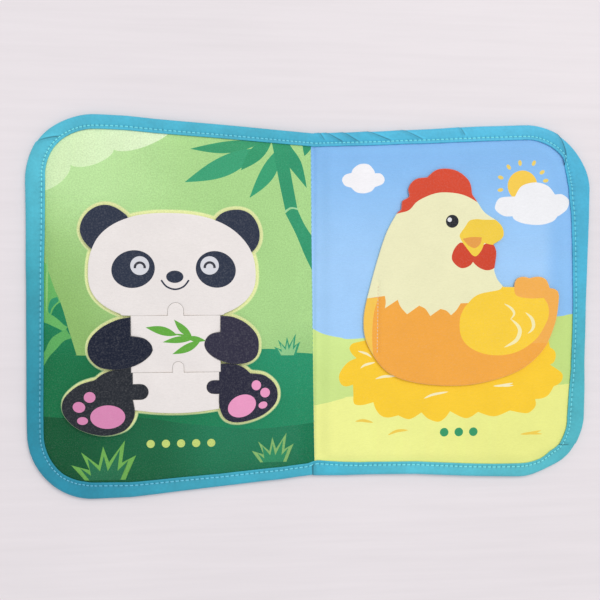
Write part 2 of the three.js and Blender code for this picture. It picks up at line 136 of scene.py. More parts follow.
# %% Printed needle felt
def needle_felt(name, fleck_share, grain_mm=0.6, relief_mm=0.16, roughness=0.62, mottle=0.0):
    """Printed felt. fleck_share is how much white fibre shows through the ink, in grains of grain_mm.
    mottle is how unevenly the left page took its ink."""
    material, tree, output = blank_material(name)
    where = node(tree, "ShaderNodeTexCoord").outputs["Object"]
    ink = node(tree, "ShaderNodeVertexColor", layer_name="ink").outputs["Color"]
    grain = node(tree, "ShaderNodeTexNoise", {
        "Vector": where, "Scale": 1 / (grain_mm * MM), "Detail": 4.0, "Roughness": roughness})
    across = node(tree, "ShaderNodeMapping", {
        "Vector": where, "Scale": (0.28, 1.0, 1.0), "Rotation": (0.0, 0.0, 0.12)})
    fibres = node(tree, "ShaderNodeTexNoise", {
        "Vector": across, "Scale": 1 / (0.55 * MM), "Detail": 3.0, "Distortion": 1.1})
    clouds = node(tree, "ShaderNodeTexNoise", {"Vector": where, "Scale": 1 / (16 * MM), "Detail": 3.0})
    fleck = node(tree, "ShaderNodeMapRange", {
        "Value": grain.outputs["Fac"], "From Min": 0.48, "From Max": 0.72, "To Max": fleck_share})
    # Inputs 6 and 7 of this node are its two colours.
    pale = node(tree, "ShaderNodeMix", {0: fleck, 6: ink, 7: linear("#e6e3e1")}, data_type="RGBA")
    shade = node(tree, "ShaderNodeMapRange", {
        "Value": clouds.outputs["Fac"], "From Min": 0.3, "From Max": 0.7, "To Min": 0.98, "To Max": 1.02})
    thread = node(tree, "ShaderNodeMapRange", {
        "Value": fibres.outputs["Fac"], "From Min": 0.35, "From Max": 0.7, "To Min": 0.97, "To Max": 1.03})
    tone = node(tree, "ShaderNodeMath", {0: shade, 1: thread}, operation="MULTIPLY")
    if mottle:
        specks = node(tree, "ShaderNodeTexNoise", {"Vector": where, "Scale": 1 / (0.85 * MM), "Detail": 2.0})
        side = node(tree, "ShaderNodeSeparateXYZ", {0: where})
        share = node(tree, "ShaderNodeMapRange", {
            "Value": side.outputs["X"], "From Min": 0.0, "From Max": -MM, "To Max": mottle})
        uneven = node(tree, "ShaderNodeMapRange", {
            "Value": specks.outputs["Fac"], "From Min": 0.35, "From Max": 0.65, "To Min": -1.0})
        speck = node(tree, "ShaderNodeMath", {0: uneven, 1: share, 2: 1.0}, operation="MULTIPLY_ADD")
        tone = node(tree, "ShaderNodeMath", {0: tone, 1: speck}, operation="MULTIPLY")
    colour = node(tree, "ShaderNodeVectorMath", {0: pale.outputs[2], "Scale": tone}, operation="SCALE")
    height = node(tree, "ShaderNodeMath", {
        0: grain.outputs["Fac"], 1: fibres.outputs["Fac"]}, operation="ADD")
    bump = node(tree, "ShaderNodeBump", {"Strength": 0.45, "Distance": relief_mm * MM, "Height": height})
    shader = node(tree, "ShaderNodeBsdfPrincipled", {
        "Base Color": colour, "Roughness": 0.92, "IOR": 1.5, "Specular IOR Level": 0.25,
        "Sheen Weight": 0.04, "Sheen Roughness": 0.5, "Normal": bump})
    tree.links.new(shader.outputs[0], output.inputs[0])
    return material


page_felt = needle_felt("needle felt, printed page", fleck_share=0.06, mottle=0.085)
piece_felt = needle_felt("needle felt, printed and die-cut", fleck_share=0.08, grain_mm=1.0, roughness=0.75)
plain_felt = needle_felt("needle felt, dyed through", fleck_share=0.1, grain_mm=0.9, relief_mm=0.2)
wadding = needle_felt("polyester wadding", fleck_share=0.4, grain_mm=1.8, relief_mm=0.6)
print("felts:", page_felt.name, "|", piece_felt.name, "|", plain_felt.name)

# %% [markdown]
# ## Binding tape
# The edge is bound with a woven polyester tape, folded over the cut felts and ironed. Its close plain
# weave gives a soft satin shine along the fold and no fuzz. Two sets of bands, along the tape and across
# it, make the weave from a map that is laid on the tape in metres. It is drawn at 0.6 mm, a little coarser
# than the real threads. The colour comes from the mesh: the tape's dye with painted light and shade, paler
# towards the window and darker away from it, and painted shade in its creases and at needle holes.

# %% Woven tape
BANDS_A_METRE = 0.31416  # a wave texture of scale 1 has a band every pi / 10 metres


def woven_tape(name):
    """Plain-woven tape. Its mesh carries its dye with painted light and shade, and a map in metres: along
    the tape and across it.
    """
    material, tree, output = blank_material(name)
    # The mesh's colour is the tape's dye with painted light and shade.
    dye = node(tree, "ShaderNodeVertexColor", layer_name="ink").outputs["Color"]
    flat = node(tree, "ShaderNodeUVMap", uv_map="weave").outputs[0]
    where = node(tree, "ShaderNodeTexCoord").outputs["Object"]
    pitch = BANDS_A_METRE / (0.6 * MM)
    warp = node(tree, "ShaderNodeTexWave", {
        "Vector": flat, "Scale": pitch, "Distortion": 0.6, "Detail Scale": 2.0}, bands_direction="X")
    weft = node(tree, "ShaderNodeTexWave", {
        "Vector": flat, "Scale": pitch, "Distortion": 0.6, "Detail Scale": 2.0}, bands_direction="Y")
    weave = node(tree, "ShaderNodeMath", {
        0: warp.outputs["Fac"], 1: weft.outputs["Fac"]}, operation="MULTIPLY")
    clouds = node(tree, "ShaderNodeTexNoise", {"Vector": where, "Scale": 1 / (14 * MM), "Detail": 4.0})
    slubs = node(tree, "ShaderNodeTexNoise", {"Vector": where, "Scale": 1 / (1.6 * MM), "Detail": 2.0})
    shade = node(tree, "ShaderNodeMapRange", {
        "Value": clouds.outputs["Fac"], "From Min": 0.3, "From Max": 0.7, "To Min": 0.92, "To Max": 1.08})
    slub = node(tree, "ShaderNodeMapRange", {
        "Value": slubs.outputs["Fac"], "From Min": 0.3, "From Max": 0.7, "To Min": 0.95, "To Max": 1.05})
    knit = node(tree, "ShaderNodeMapRange", {"Value": weave, "To Min": 0.93, "To Max": 1.04})
    tone = node(tree, "ShaderNodeMath", {0: shade, 1: slub}, operation="MULTIPLY")
    tone = node(tree, "ShaderNodeMath", {0: tone, 1: knit}, operation="MULTIPLY")
    colour = node(tree, "ShaderNodeVectorMath", {0: dye, "Scale": tone}, operation="SCALE")
    height = node(tree, "ShaderNodeMath", {0: slubs.outputs["Fac"], 1: weave}, operation="ADD")
    bump = node(tree, "ShaderNodeBump", {"Strength": 0.35, "Distance": 0.12 * MM, "Height": height})
    shader = node(tree, "ShaderNodeBsdfPrincipled", {
        "Base Color": colour, "Roughness": 0.55, "IOR": 1.55, "Specular IOR Level": 0.4, "Sheen Weight": 0.1,
        "Sheen Roughness": 0.35, "Normal": bump})
    tree.links.new(shader.outputs[0], output.inputs[0])
    return material


binding_tape = woven_tape("polyester tape, plain weave")
print("tape:", binding_tape.name)

# %% [markdown]
# ## Sewing thread
# The thread is spun polyester: fine fibres twisted into a strand, duller than the tape. A slanting band
# stands for the twist, in its tone and in a fine bump, because a stitch is too small to model its strands.
# Its dye lies on the mesh too, so that one material serves every seam. On the tape's seam it carries the
# tape's painted light and shade.

# %% Spun thread
def spun_thread(name):
    """Sewing thread with a slanting twist. Its mesh carries its dye, with painted light and shade on the
    tape's seam.
    """
    material, tree, output = blank_material(name)
    dye = node(tree, "ShaderNodeVertexColor", layer_name="ink").outputs["Color"]
    where = node(tree, "ShaderNodeTexCoord").outputs["Object"]
    twist = node(tree, "ShaderNodeTexWave", {
        "Vector": where, "Scale": BANDS_A_METRE / (0.5 * MM), "Distortion": 1.5}, bands_direction="DIAGONAL")
    tone = node(tree, "ShaderNodeMapRange", {"Value": twist.outputs["Fac"], "To Min": 0.86, "To Max": 1.0})
    colour = node(tree, "ShaderNodeVectorMath", {0: dye, "Scale": tone}, operation="SCALE")
    bump = node(tree, "ShaderNodeBump", {
        "Strength": 0.5, "Distance": 0.05 * MM, "Height": twist.outputs["Fac"]})
    shader = node(tree, "ShaderNodeBsdfPrincipled", {
        "Base Color": colour, "Roughness": 0.6, "IOR": 1.5, "Sheen Weight": 0.1, "Normal": bump})
    tree.links.new(shader.outputs[0], output.inputs[0])
    return material


sewing_thread = spun_thread("spun polyester thread")
print("thread:", sewing_thread.name)

# %% [markdown]
# ## Lines in millimetres
# A print is drawn as a child's picture is, from a few points and smooth bends between them. A spline
# through the points needs fewer of them than a polygon would. Everything is in the book's own
# millimetres, with X across the spread and Y up the fold.

# %% Smooth lines
def bend(points, step=1.0, closed=False):
    """A smooth line through the points, with a point about every step millimetres."""
    pts = [np.array(p, float) for p in points]
    count = len(pts)
    last = count if closed else count - 1
    line = []
    for i in range(last):
        p1, p2 = pts[i], pts[(i + 1) % count]
        p0 = pts[i - 1] if i or closed else p1
        p3 = pts[(i + 2) % count] if closed or i + 2 < count else p2
        parts = max(1, math.ceil(np.linalg.norm(p2 - p1) / step))
        for t in np.arange(parts) / parts:
            line.append(0.5 * (2 * p1 + (p2 - p0) * t + (2 * p0 - 5 * p1 + 4 * p2 - p3) * t ** 2
                               + (3 * p1 - p0 - 3 * p2 + p3) * t ** 3))
    if not closed:
        line.append(pts[-1])
    return [tuple(p) for p in line]


def drawn(*stretches, step=1.0):
    """A closed outline of smooth stretches that meet in corners. Each starts where the last one ended."""
    line = []
    for k, stretch in enumerate(stretches):
        start = [] if k == 0 else [stretches[k - 1][-1]]
        line += bend(start + list(stretch), step)[:-1]
    line += bend([stretches[-1][-1], stretches[0][0]], step)[:-1]
    return line


print("a bend through three points has", len(bend([(0, 0), (7, 3), (10, 10)])), "points")

# %% [markdown]
# ## Lobes, leaves and strokes
# Clouds, crowns of leaves and the nest's edge are rows of round lobes. A leaf of bamboo is a lens that may
# bow sideways. A stroke is a line with a brush's width, thinner towards its ends. Each function gives a
# closed list of points.

# %% Round and pointed shapes
def ellipse(cx, cy, rx, ry, tilt=0.0, steps=48):
    """An ellipse with its long axis turned by tilt degrees."""
    a = math.radians(tilt)
    ring = []
    for k in range(steps):
        t = 2 * math.pi * k / steps
        u, v = rx * math.cos(t), ry * math.sin(t)
        ring.append((cx + u * math.cos(a) - v * math.sin(a), cy + u * math.sin(a) + v * math.cos(a)))
    return ring


def lobed(cusps, step=1.0):
    """Round lobes between cusps (x, y, swell). swell is a lobe's height as a share of its width."""
    line = []
    for k, (ax, ay, swell) in enumerate(cusps):
        bx, by, _ = cusps[(k + 1) % len(cusps)]
        chord = math.hypot(bx - ax, by - ay)
        out = ((by - ay) / chord, (ax - bx) / chord)
        parts = max(2, math.ceil(chord * (1 + swell) / step))
        for i in range(parts):
            t = i / parts
            rise = chord * swell * (4 * t * (1 - t)) ** 0.62
            line.append((ax + (bx - ax) * t + out[0] * rise, ay + (by - ay) * t + out[1] * rise))
    return line


def leaf(root, tip, width, sag=0.0, fullest=0.45):
    """A leaf that is pointed at both ends, with its middle line bowed sideways by sag. fullest is where
    along it the leaf is widest."""
    (ax, ay), (bx, by) = root, tip
    length = math.hypot(bx - ax, by - ay)
    ux, uy = (bx - ax) / length, (by - ay) / length
    parts = max(6, round(length / 1.5))
    sides = []
    for side in (1, -1):
        for i in range(parts + 1 if side > 0 else parts - 1):
            t = i / parts if side > 0 else 1 - (i + 1) / parts
            bulge = math.sin(math.pi * t ** (math.log(0.5) / math.log(fullest)))
            off = side * width / 2 * bulge + sag * math.sin(math.pi * t)
            along = t * length
            sides.append((ax + ux * along - uy * off, ay + uy * along + ux * off))
    return sides


def stroke(points, width, taper=True, step=0.8):
    """A brush stroke along the points, thinner towards its ends where taper is set."""
    line = np.array(bend(points, step))
    ahead = np.gradient(line, axis=0)
    ahead /= np.linalg.norm(ahead, axis=1)[:, None]
    side = np.stack([-ahead[:, 1], ahead[:, 0]], 1)
    t = np.linspace(0, 1, len(line))
    half = width / 2 * (np.sin(math.pi * np.clip(t, 0.02, 0.98)) ** 0.8 if taper else np.ones(len(t)))
    return [tuple(p) for p in line + side * half[:, None]] + [tuple(p) for p in
                                                             (line - side * half[:, None])[::-1]]


print("a 20 mm leaf has", len(leaf((0, 0), (20, 0), 5)), "points")

# %% [markdown]
# ## The shape of the pages
# The pages widen away from the fold and have round outer corners. That is the even pattern, which the
# solids have too. These sizes are all in millimetres, and the heights of the layers follow from them.

# %% Pattern of the pages
PAGE_WIDTH, FOLD_HEIGHT, PAGE_FLARE, CORNER_RADIUS = 182.0, 221.0, 0.068, 41.0
TAPE_WIDTH, TAPE_TOP, RIM_BOTTOM, PAGE_TOP = 10.0, 3.8, 0.7, 4.4
BACK_THICKNESS, FRONT_THICKNESS, PADDING, PAGE_RISE = 1.0, 1.2, 2.0, 6.0
FOLD_HALF, FOLD_RISE, FOLD_GROOVE = 3.0, 9.0, 1.1
STITCH_INSET, STITCH_PULL = 8.0, 0.3
RISE_START = TAPE_WIDTH + 0.3  # inside the tape the padding lifts the felt
SEAM_SQUEEZE_FRONT, SEAM_SQUEEZE_BACK = 0.6, 0.45  # how much thinner the felts are under the fold's seam
SLOPE = math.atan(PAGE_FLARE)
CORNER_X = PAGE_WIDTH - CORNER_RADIUS
CORNER_Y = FOLD_HEIGHT / 2 + PAGE_FLARE * CORNER_X - CORNER_RADIUS / math.cos(SLOPE)


def ease(value, start, length):
    """From 0 before start to 1 after start + length, smoothly."""
    t = np.clip((np.asarray(value, float) - start) / length, 0, 1)
    return t * t * (3 - 2 * t)


def from_places(places, value):
    """A number read between the nearest two of (place, number)."""
    return np.interp(value, *zip(*places))


print("the corners' centre:", round(CORNER_X, 1), round(CORNER_Y, 1))

# %% [markdown]
# ## How the sewn book differs from its pattern
# Sewn by hand from soft cloth, the book came out up to 5 mm off its pattern, and its tape, folded by hand,
# shows 8 to 15 mm of itself. A few places round the edge say how far the cloth lies off and how wide the
# tape is there. Everything between them is interpolated, as cloth would do it.

# %% The cloth off its pattern
# Along each side: a place on it, and how far outwards or upwards the cloth lies there.
LEFT_TOP = [(0, 0.0), (20, 0.3), (45, 0.7), (100, 0.9), (118, 1.4), (145, 0.6)]
LEFT_BOTTOM = [(0, 0.1), (10, -0.3), (20, -1.0), (45, -1.6), (70, -2.2), (100, -3.4), (118, -3.8),
    (140, -2.8)]
RIGHT_TOP = [(0, 0.0), (15, -0.5), (47, -1.05), (109, -1.25), (128, -1.9), (145, -2.5), (160, -3.2)]
RIGHT_BOTTOM = [(0, 0.1), (10, 0.2), (20, 0.6), (40, 2.1), (69, 3.6), (100, 3.8), (128, 4.6), (150, 5.3)]
LEFT_SIDE = [(-100, 0.1), (-60, 0.1), (-30, 0.45), (0, 0.85), (40, 1.35), (75, 1.5)]
RIGHT_SIDE = [(-110, 0.8), (-60, 0.75), (-40, 0.35), (0, 0.5), (60, 1.7), (80, 1.8), (110, 1.3)]
# Pulls at the corners: x, y, how far in x and in y, and their reach.
CORNER_PULLS = [(174, 101, -0.7, -0.5, 18), (158, -117, -0.3, 2.1, 13), (176, -98, -0.9, 0.2, 15),
    (-157, 117, 0.3, -0.7, 15), (-172, -104, 0.5, 0.1, 18)]
# Places on the edge, and how much of the tape shows there.
TAPE_SHOWS = [(182, 0, 9.3), (182, 28, 10.6), (182, 42, 11.3), (182, 62, 12.6), (182, 75, 14.3),
    (181, 87, 14.9), (178, 97, 13.6), (174, 103, 11.6), (171, 107, 9.6), (166, 112, 9.2), (104, 118, 9.6),
    (60, 115, 8.9), (10, 111, 8.4), (-60, 115, 8.7), (-130, 119, 9.0), (-160, 115, 9.9), (-176, 99, 11.2),
    (-182, 80, 12.5), (-182, 20, 11.3), (-182, -60, 10.7), (-165, -110, 10.1), (-148, -119, 11.1),
    (-110, -118, 9.7), (-60, -115, 8.5), (-3, -111, 8.2), (2, -111, 9.9), (30, -113, 8.5), (120, -118, 8.6),
    (140, -119, 9.2), (154, -116, 8.8), (164, -112, 10.4), (172, -105, 9.8), (176, -99, 10.5),
    (182, -80, 12.0), (182, -60, 11.2), (182, -45, 9.7), (182, -25, 9.4)]


def off_pattern(x, y):
    """How far a point of the even pattern was moved by the sewing."""
    high, low = ease(y, 0, 110), ease(-y, 0, 110)
    dy = np.where(x < 0, high * from_places(LEFT_TOP, -x) + low * from_places(LEFT_BOTTOM, -x),
                  high * from_places(RIGHT_TOP, x) + low * from_places(RIGHT_BOTTOM, x))
    dx = ease(-x, 120, 60) * from_places(LEFT_SIDE, y) + ease(x, 120, 60) * from_places(RIGHT_SIDE, y)
    for at_x, at_y, pull_x, pull_y, size in CORNER_PULLS:
        share = np.exp(-((x - at_x) ** 2 + (y - at_y) ** 2) / size ** 2)
        dx, dy = dx + pull_x * share, dy + pull_y * share
    return dx, dy


def on_pattern(x, y):
    """Where points of the sewn cloth were on the even pattern."""
    at_x, at_y = np.asarray(x, float), np.asarray(y, float)
    for _ in range(3):
        dx, dy = off_pattern(at_x, at_y)
        at_x, at_y = x - dx, y - dy
    return at_x, at_y


def round_book(places, x, y):
    """A number read between places (x, y, number) round the book's edge."""
    turns = [math.atan2(b / 120, a / PAGE_WIDTH) for a, b, _ in places]
    return np.interp(np.arctan2(y / 120, x / PAGE_WIDTH), turns, [p[2] for p in places], period=2 * math.pi)


def stitched_at(x, y):
    """How far in from the edge the stitches run: 2 mm from the inner edge of the tape."""
    return round_book(TAPE_SHOWS, x, y) - TAPE_WIDTH + STITCH_INSET


print("the upper right edge lies off by", [round(float(v), 1) for v in off_pattern(170.0, 105.0)], "mm")

# %% [markdown]
# ## Heights of the felts
# Under the tape the felts are squeezed flat, and inside it they rise over the padding. The same few
# sizes as in the solids give every height here, and a little unevenness is added, because cloth is never
# quite flat. Every height goes by how far in a point lies, counted as if the tape showed an even 10 mm.

# %% Heights of the pages
def inside_edge(x, y):
    """How far points lie inside the outer edge of the book, where the tape counts as 10 mm wide."""
    x, y = on_pattern(x, y)
    stitched = stitched_at(x, y)
    x, y = np.abs(x), np.abs(y)
    to_long = (FOLD_HEIGHT / 2 + PAGE_FLARE * x - y) * math.cos(SLOPE)
    straight = np.minimum(to_long, PAGE_WIDTH - x)
    in_corner = CORNER_RADIUS - np.hypot(x - CORNER_X, y - CORNER_Y)
    inside = np.where((x > CORNER_X) & (y > CORNER_Y), in_corner, straight)
    return np.where(inside < stitched, inside * STITCH_INSET / stitched, inside - stitched + STITCH_INSET)


def ripple(x, y, size, seed=0.0):
    """Smooth unevenness from -1 to 1 with hills about size millimetres apart."""
    xs, ys = np.broadcast_arrays(np.asarray(x, float), np.asarray(y, float))
    flat = [noise.noise(Vector((a / size, b / size, seed))) for a, b in zip(xs.ravel(), ys.ravel())]
    return np.array(flat).reshape(xs.shape)


def page_bottom(x, y):
    """Underside of the back felt."""
    return RIM_BOTTOM * (1 - ease(inside_edge(x, y), RISE_START, PAGE_RISE))


def padding_height(x, y):
    """Thickness of the padding between the felts."""
    full = ease(inside_edge(x, y), RISE_START, PAGE_RISE)
    return PADDING * full * ease(np.abs(x), FOLD_HALF + 0.3, FOLD_RISE)


def unevenness(x, y):
    """How far the printed felt sinks below its full height. It never rises above it."""
    x, y = np.asarray(x, float), np.asarray(y, float)
    full = ease(inside_edge(x, y), TAPE_WIDTH + 2, 12) * ease(np.abs(x), 4, 12)
    sink = 0.22 + 0.3 * ripple(x, y, 38, 3.1) + 0.12 * ripple(x, y, 13, 8.7)
    return np.clip(sink, 0, 0.6) * full


def seam_pull(x, y):
    """1 along the sewn fold, fading to both sides."""
    return np.exp(-(np.asarray(x, float) / 1.3) ** 2) * ease(inside_edge(x, y), TAPE_WIDTH - 1, 4)


def page_top(x, y):
    """Upper face of the printed felt. It is pulled down by the fold's seam and by the tape's stitches."""
    x, y = np.asarray(x, float), np.asarray(y, float)
    inside = inside_edge(x, y)
    top = page_bottom(x, y) + BACK_THICKNESS + padding_height(x, y) + FRONT_THICKNESS + 0.2
    near_tape = np.exp(-((inside - TAPE_WIDTH - 4) / 4.5) ** 2)
    puckers = 0.14 * ripple(x, y, 5.5, 21.0) * near_tape
    stitched = STITCH_PULL * np.exp(-((inside - STITCH_INSET) / 1.1) ** 2)
    return top - FOLD_GROOVE * seam_pull(x, y) - unevenness(x, y) + puckers - stitched


def front_bottom(x, y):
    return page_top(x, y) - FRONT_THICKNESS + SEAM_SQUEEZE_FRONT * seam_pull(x, y)


def back_top(x, y):
    return page_bottom(x, y) + BACK_THICKNESS - SEAM_SQUEEZE_BACK * seam_pull(x, y)


print("page height in its middle:", round(float(page_top(90, 0)), 2), "mm")

# %% [markdown]
# ## Splitting felt by its print
# The printed shapes could be a picture on the felt, but then their edges would blur from close by. Here
# the mesh itself is split along the edges of every shape, so that the ink ends as sharply as on the real
# felt. Blender's constrained triangulation does it. Rows of points between the edges let the felt bend.

# %% Faces that follow the print
def counter_clockwise(ring):
    area = sum(ax * by - bx * ay for (ax, ay), (bx, by) in zip(ring, ring[1:] + ring[:1]))
    return ring if area > 0 else ring[::-1]


def within(points, ring):
    """Which of the points lie inside the ring."""
    xs, ys = points[:, 0], points[:, 1]
    inside = np.zeros(len(points), bool)
    for (ax, ay), (bx, by) in zip(ring, ring[1:] + ring[:1]):
        if ay != by:
            crosses = (ay > ys) != (by > ys)
            inside ^= crosses & (xs < (bx - ax) * (ys - ay) / (by - ay) + ax)
    return inside


def lattice(ring, spacing):
    """Points in even rows inside the ring, which give the felt its bends."""
    xs, ys = zip(*ring)
    rows = []
    for k, y in enumerate(np.arange(min(ys) + spacing / 2, max(ys), spacing * 0.87)):
        row = np.arange(min(xs) + spacing * (0.3 + 0.5 * (k % 2)), max(xs), spacing)
        rows.append(np.stack([row, np.full(len(row), y)], 1))
    points = np.concatenate(rows)
    return points[within(points, ring)]


def moved_out(ring, distance):
    """The ring moved outwards, square to its edges."""
    pts = np.array(ring)
    edge = np.roll(pts, -1, 0) - pts
    edge /= np.linalg.norm(edge, axis=1)[:, None] + 1e-12
    out = np.stack([edge[:, 1], -edge[:, 0]], 1)
    mean = out + np.roll(out, 1, 0)
    length = np.linalg.norm(mean, axis=1)[:, None]
    mean = mean / np.maximum(length, 0.4) ** 2 * 2
    return [tuple(p) for p in pts + mean * distance]


def split_by_print(ring, shapes, spacing, extra=()):
    """Triangles inside the ring that follow every shape's edges: points, faces, and each face's shape."""
    points = [Vector(p) for p in ring]
    rings = [list(range(len(ring)))]
    for outline, _ in shapes:
        rings.append(list(range(len(points), len(points) + len(outline))))
        points += [Vector(p) for p in counter_clockwise(list(outline))]
    points += [Vector(p) for p in lattice(ring, spacing)]
    points += [Vector(p) for p in extra]
    made, _, faces, _, _, owners = delaunay_2d_cdt(points, [], rings, 1, 1e-4, True)
    kept = [(face, max(own)) for face, own in zip(faces, owners) if 0 in own]
    used = sorted({k for face, _ in kept for k in face})
    renumbered = {k: i for i, k in enumerate(used)}
    points = np.array([tuple(made[k]) for k in used])
    return points, [[renumbered[k] for k in face] for face, _ in kept], [owner for _, owner in kept]


test = split_by_print(ellipse(0, 0, 10, 10), [(ellipse(4, 0, 3, 3), "#000000")], 2.0)
print("a disc of felt with one dot:", len(test[1]), "faces")

# %% [markdown]
# ## Closed pieces of felt
# Felt has a thickness, and its cut edge shows. So each piece is a closed mesh: the printed top, a bare
# underside, and an edge that is slightly rounded, as die-cut felt is. The last shape drawn over a face
# gives it its ink, and on the cut edge the ink fades into bare felt.

# %% A felt piece with its edge
def rim_of(faces):
    """The directed edges that only one face has, joined into loops."""
    edges = {(a, b) for f in faces for a, b in zip(f, f[1:] + f[:1])}
    after = {a: b for a, b in edges if (b, a) not in edges}
    loops = []
    while after:
        start = next(iter(after))
        loop = [start]
        while after.get(loop[-1], start) != start:
            loop.append(after[loop[-1]])
        for k in loop:
            after.pop(k, None)
        loops.append(loop)
    return loops


def new_piece(name, points, faces, material):
    """A smooth-shaded mesh object from points in millimetres."""
    mesh = bpy.data.meshes.new(name)
    mesh.from_pydata([tuple(p) for p in np.asarray(points) * MM], [], faces)
    mesh.shade_smooth()
    mesh.materials.append(material)
    piece = bpy.data.objects.new(name, mesh)
    bpy.context.scene.collection.objects.link(piece)
    return piece


def give_ink(piece, colours, domain):
    """Stores rows of linear colour on the mesh, one for each corner or each point, as the domain says."""
    layer = piece.data.color_attributes.new(name="ink", type="FLOAT_COLOR", domain=domain)
    layer.data.foreach_set("color", np.array(colours).ravel())


def felt_piece(name, ring, base, shapes, top, bottom, material, spacing=2.2, under="#e8e4de", edge=0.25,
               wall=0.3, extra=()):
    """A closed felt piece. top(x, y) and bottom(x, y) are its faces' heights. An ink is a hex colour, or a
    function of x and y that gives one. wall is how far the print fades to bare felt on the cut edge."""
    ring = counter_clockwise([tuple(p) for p in ring])
    flat, faces, owners = split_by_print(moved_out(ring, -edge), shapes, spacing, extra)
    inks = [base] + [ink for _, ink in shapes]
    z = np.asarray(top(flat[:, 0], flat[:, 1]), float)
    low = np.asarray(bottom(flat[:, 0], flat[:, 1]), float)
    count = len(flat)
    points = [np.column_stack([flat, z]), np.column_stack([flat, low])]
    colours = []
    for face, owner in zip(faces, owners):
        ink = inks[owner]
        colours.append(linear(ink(*flat[face].mean(0)) if callable(ink) else ink))
    colour_at = {k: c for f, c in zip(faces, colours) for k in f}
    bare = np.array(linear(under))
    all_faces = faces + [[count + k for k in f[::-1]] for f in faces]
    colours = colours + [tuple(bare)] * len(faces)
    used = 2 * count
    for loop in rim_of(faces):
        line = [tuple(flat[k]) for k in loop]
        rows = [np.array(loop)]
        for out, level in ((0.72, z[loop] - 0.4 * edge), (1.0, z[loop] - edge), (1.0, low[loop] + edge),
                           (0.72, low[loop] + 0.4 * edge)):
            points.append(np.column_stack([np.array(moved_out(line, edge * out)), level]))
            rows.append(used + np.arange(len(loop)))
            used += len(loop)
        rows.append(np.array(loop) + count)
        size = len(loop)
        for upper, lower in zip(rows, rows[1:]):
            for i in range(size):
                j = (i + 1) % size
                all_faces.append([int(k) for k in (upper[i], lower[i], lower[j], upper[j])])
                colours.append(tuple(np.array(colour_at[loop[i]]) * (1 - wall) + bare * wall))
    piece = new_piece(name, np.concatenate(points), all_faces, material)
    give_ink(piece, np.repeat(colours, [len(f) for f in all_faces], axis=0), "CORNER")
    return piece


print("the edge of one triangle:", rim_of([[0, 1, 2]])[0])

# %% [markdown]
# ## Inks of the left page
# The greens aren't even: they drift over the page. The pale green is painted lighter at the upper left and
# painted darker towards the lower left and a little beside the fold: painted light and shade. The darker
# greens turn mostly darker towards the left and the bottom. An ink that drifts is a function of the place,
# and it mixes two or three hex colours there.

# %% Inks of the left page
def grove_pale_green_and_shade(x, y):
    """Pale green with painted light and shade: lighter at the upper left, darker towards the lower left and
    a little beside the fold.
    """
    upper = between("#acd88b", "#bfe79f", ease(-x, 60, 80) * ease(y, 20, 60))
    near_fold = between(upper, "#9cc97f", ease(x, -45, 40) * ease(-y, 5, 30))
    return between(near_fold, "#8fba69", ease(-x - y, 75, 95) * ease(-x, 100, 50))


def grove_ground(x, y):
    share = ease(-x, 20, 140) * (0.55 + 0.45 * ease(-y, 5, 35)) + 0.28 * ease(-y, 30, 45)
    return between("#229369", "#0c7042", min(share, 1))


def grove_shade(x, y):
    middle = between("#0b764e", "#1d7b55", ease(-x, 3, 10))
    side = between(middle, "#10653f", ease(-x, 60, 45))
    far = between(side, "#03542f", ease(-x, 105, 55))
    return between(far, "#004020", 0.12 * ease(-y, 80, 25))


print("the ground's green at the fold and far from it:", grove_ground(-3, -40), grove_ground(-170, -40))

# %% [markdown]
# ## Grass and the fold's line
# A tuft of grass is one outline of five blades, drawn twice: a light one and a darker one inside it. The
# line where the two pages' prints meet is needed for both pages.

# %% Grass and the fold's line
# The blades' outlines, as shares of the tuft's width and height.
BLADES = [(-0.3, 0), (-0.5, 0.4), (-0.22, 0.27), (-0.35, 0.72), (-0.08, 0.38), (-0.01, 0.86), (0.08, 0.46),
    (0.33, 1.0), (0.28, 0.44), (0.5, 0.62), (0.33, 0)]
BLADE_SHADES = [(-0.23, 0), (-0.37, 0.33), (-0.2, 0.13), (-0.25, 0.56), (-0.06, 0.24), (0.0, 0.62),
    (0.06, 0.24), (0.25, 0.78), (0.21, 0.24), (0.38, 0.5), (0.25, 0)]


def tuft(x, y, width, height, outer, inner):
    """A tuft of grass with five blades: a light outline and a dark inside."""
    return [([(x + u * width, y + v * height) for u, v in blades], ink)
            for blades, ink in ((BLADES, outer), (BLADE_SHADES, inner))]


def fold_line(y):
    """Where the two prints meet. The seam wanders to the left towards the top."""
    return float(from_places([(-110, 0.9), (-76, 0.4), (-52, 0.0), (1, -0.7), (41, -1.3), (110, -1.95)], y))


print("at the fold's middle the prints meet at x =", round(fold_line(0), 1), "mm")

# %% [markdown]
# ## Print of the left page
# The left page shows a bamboo grove: a pale crown of leaves in the corner, a cane with pointed leaves, a
# dark green ground and tufts of grass. Every motif is drawn here in the plain manner of such books.
# Where the real page has a word, five plain dots stand in a row.

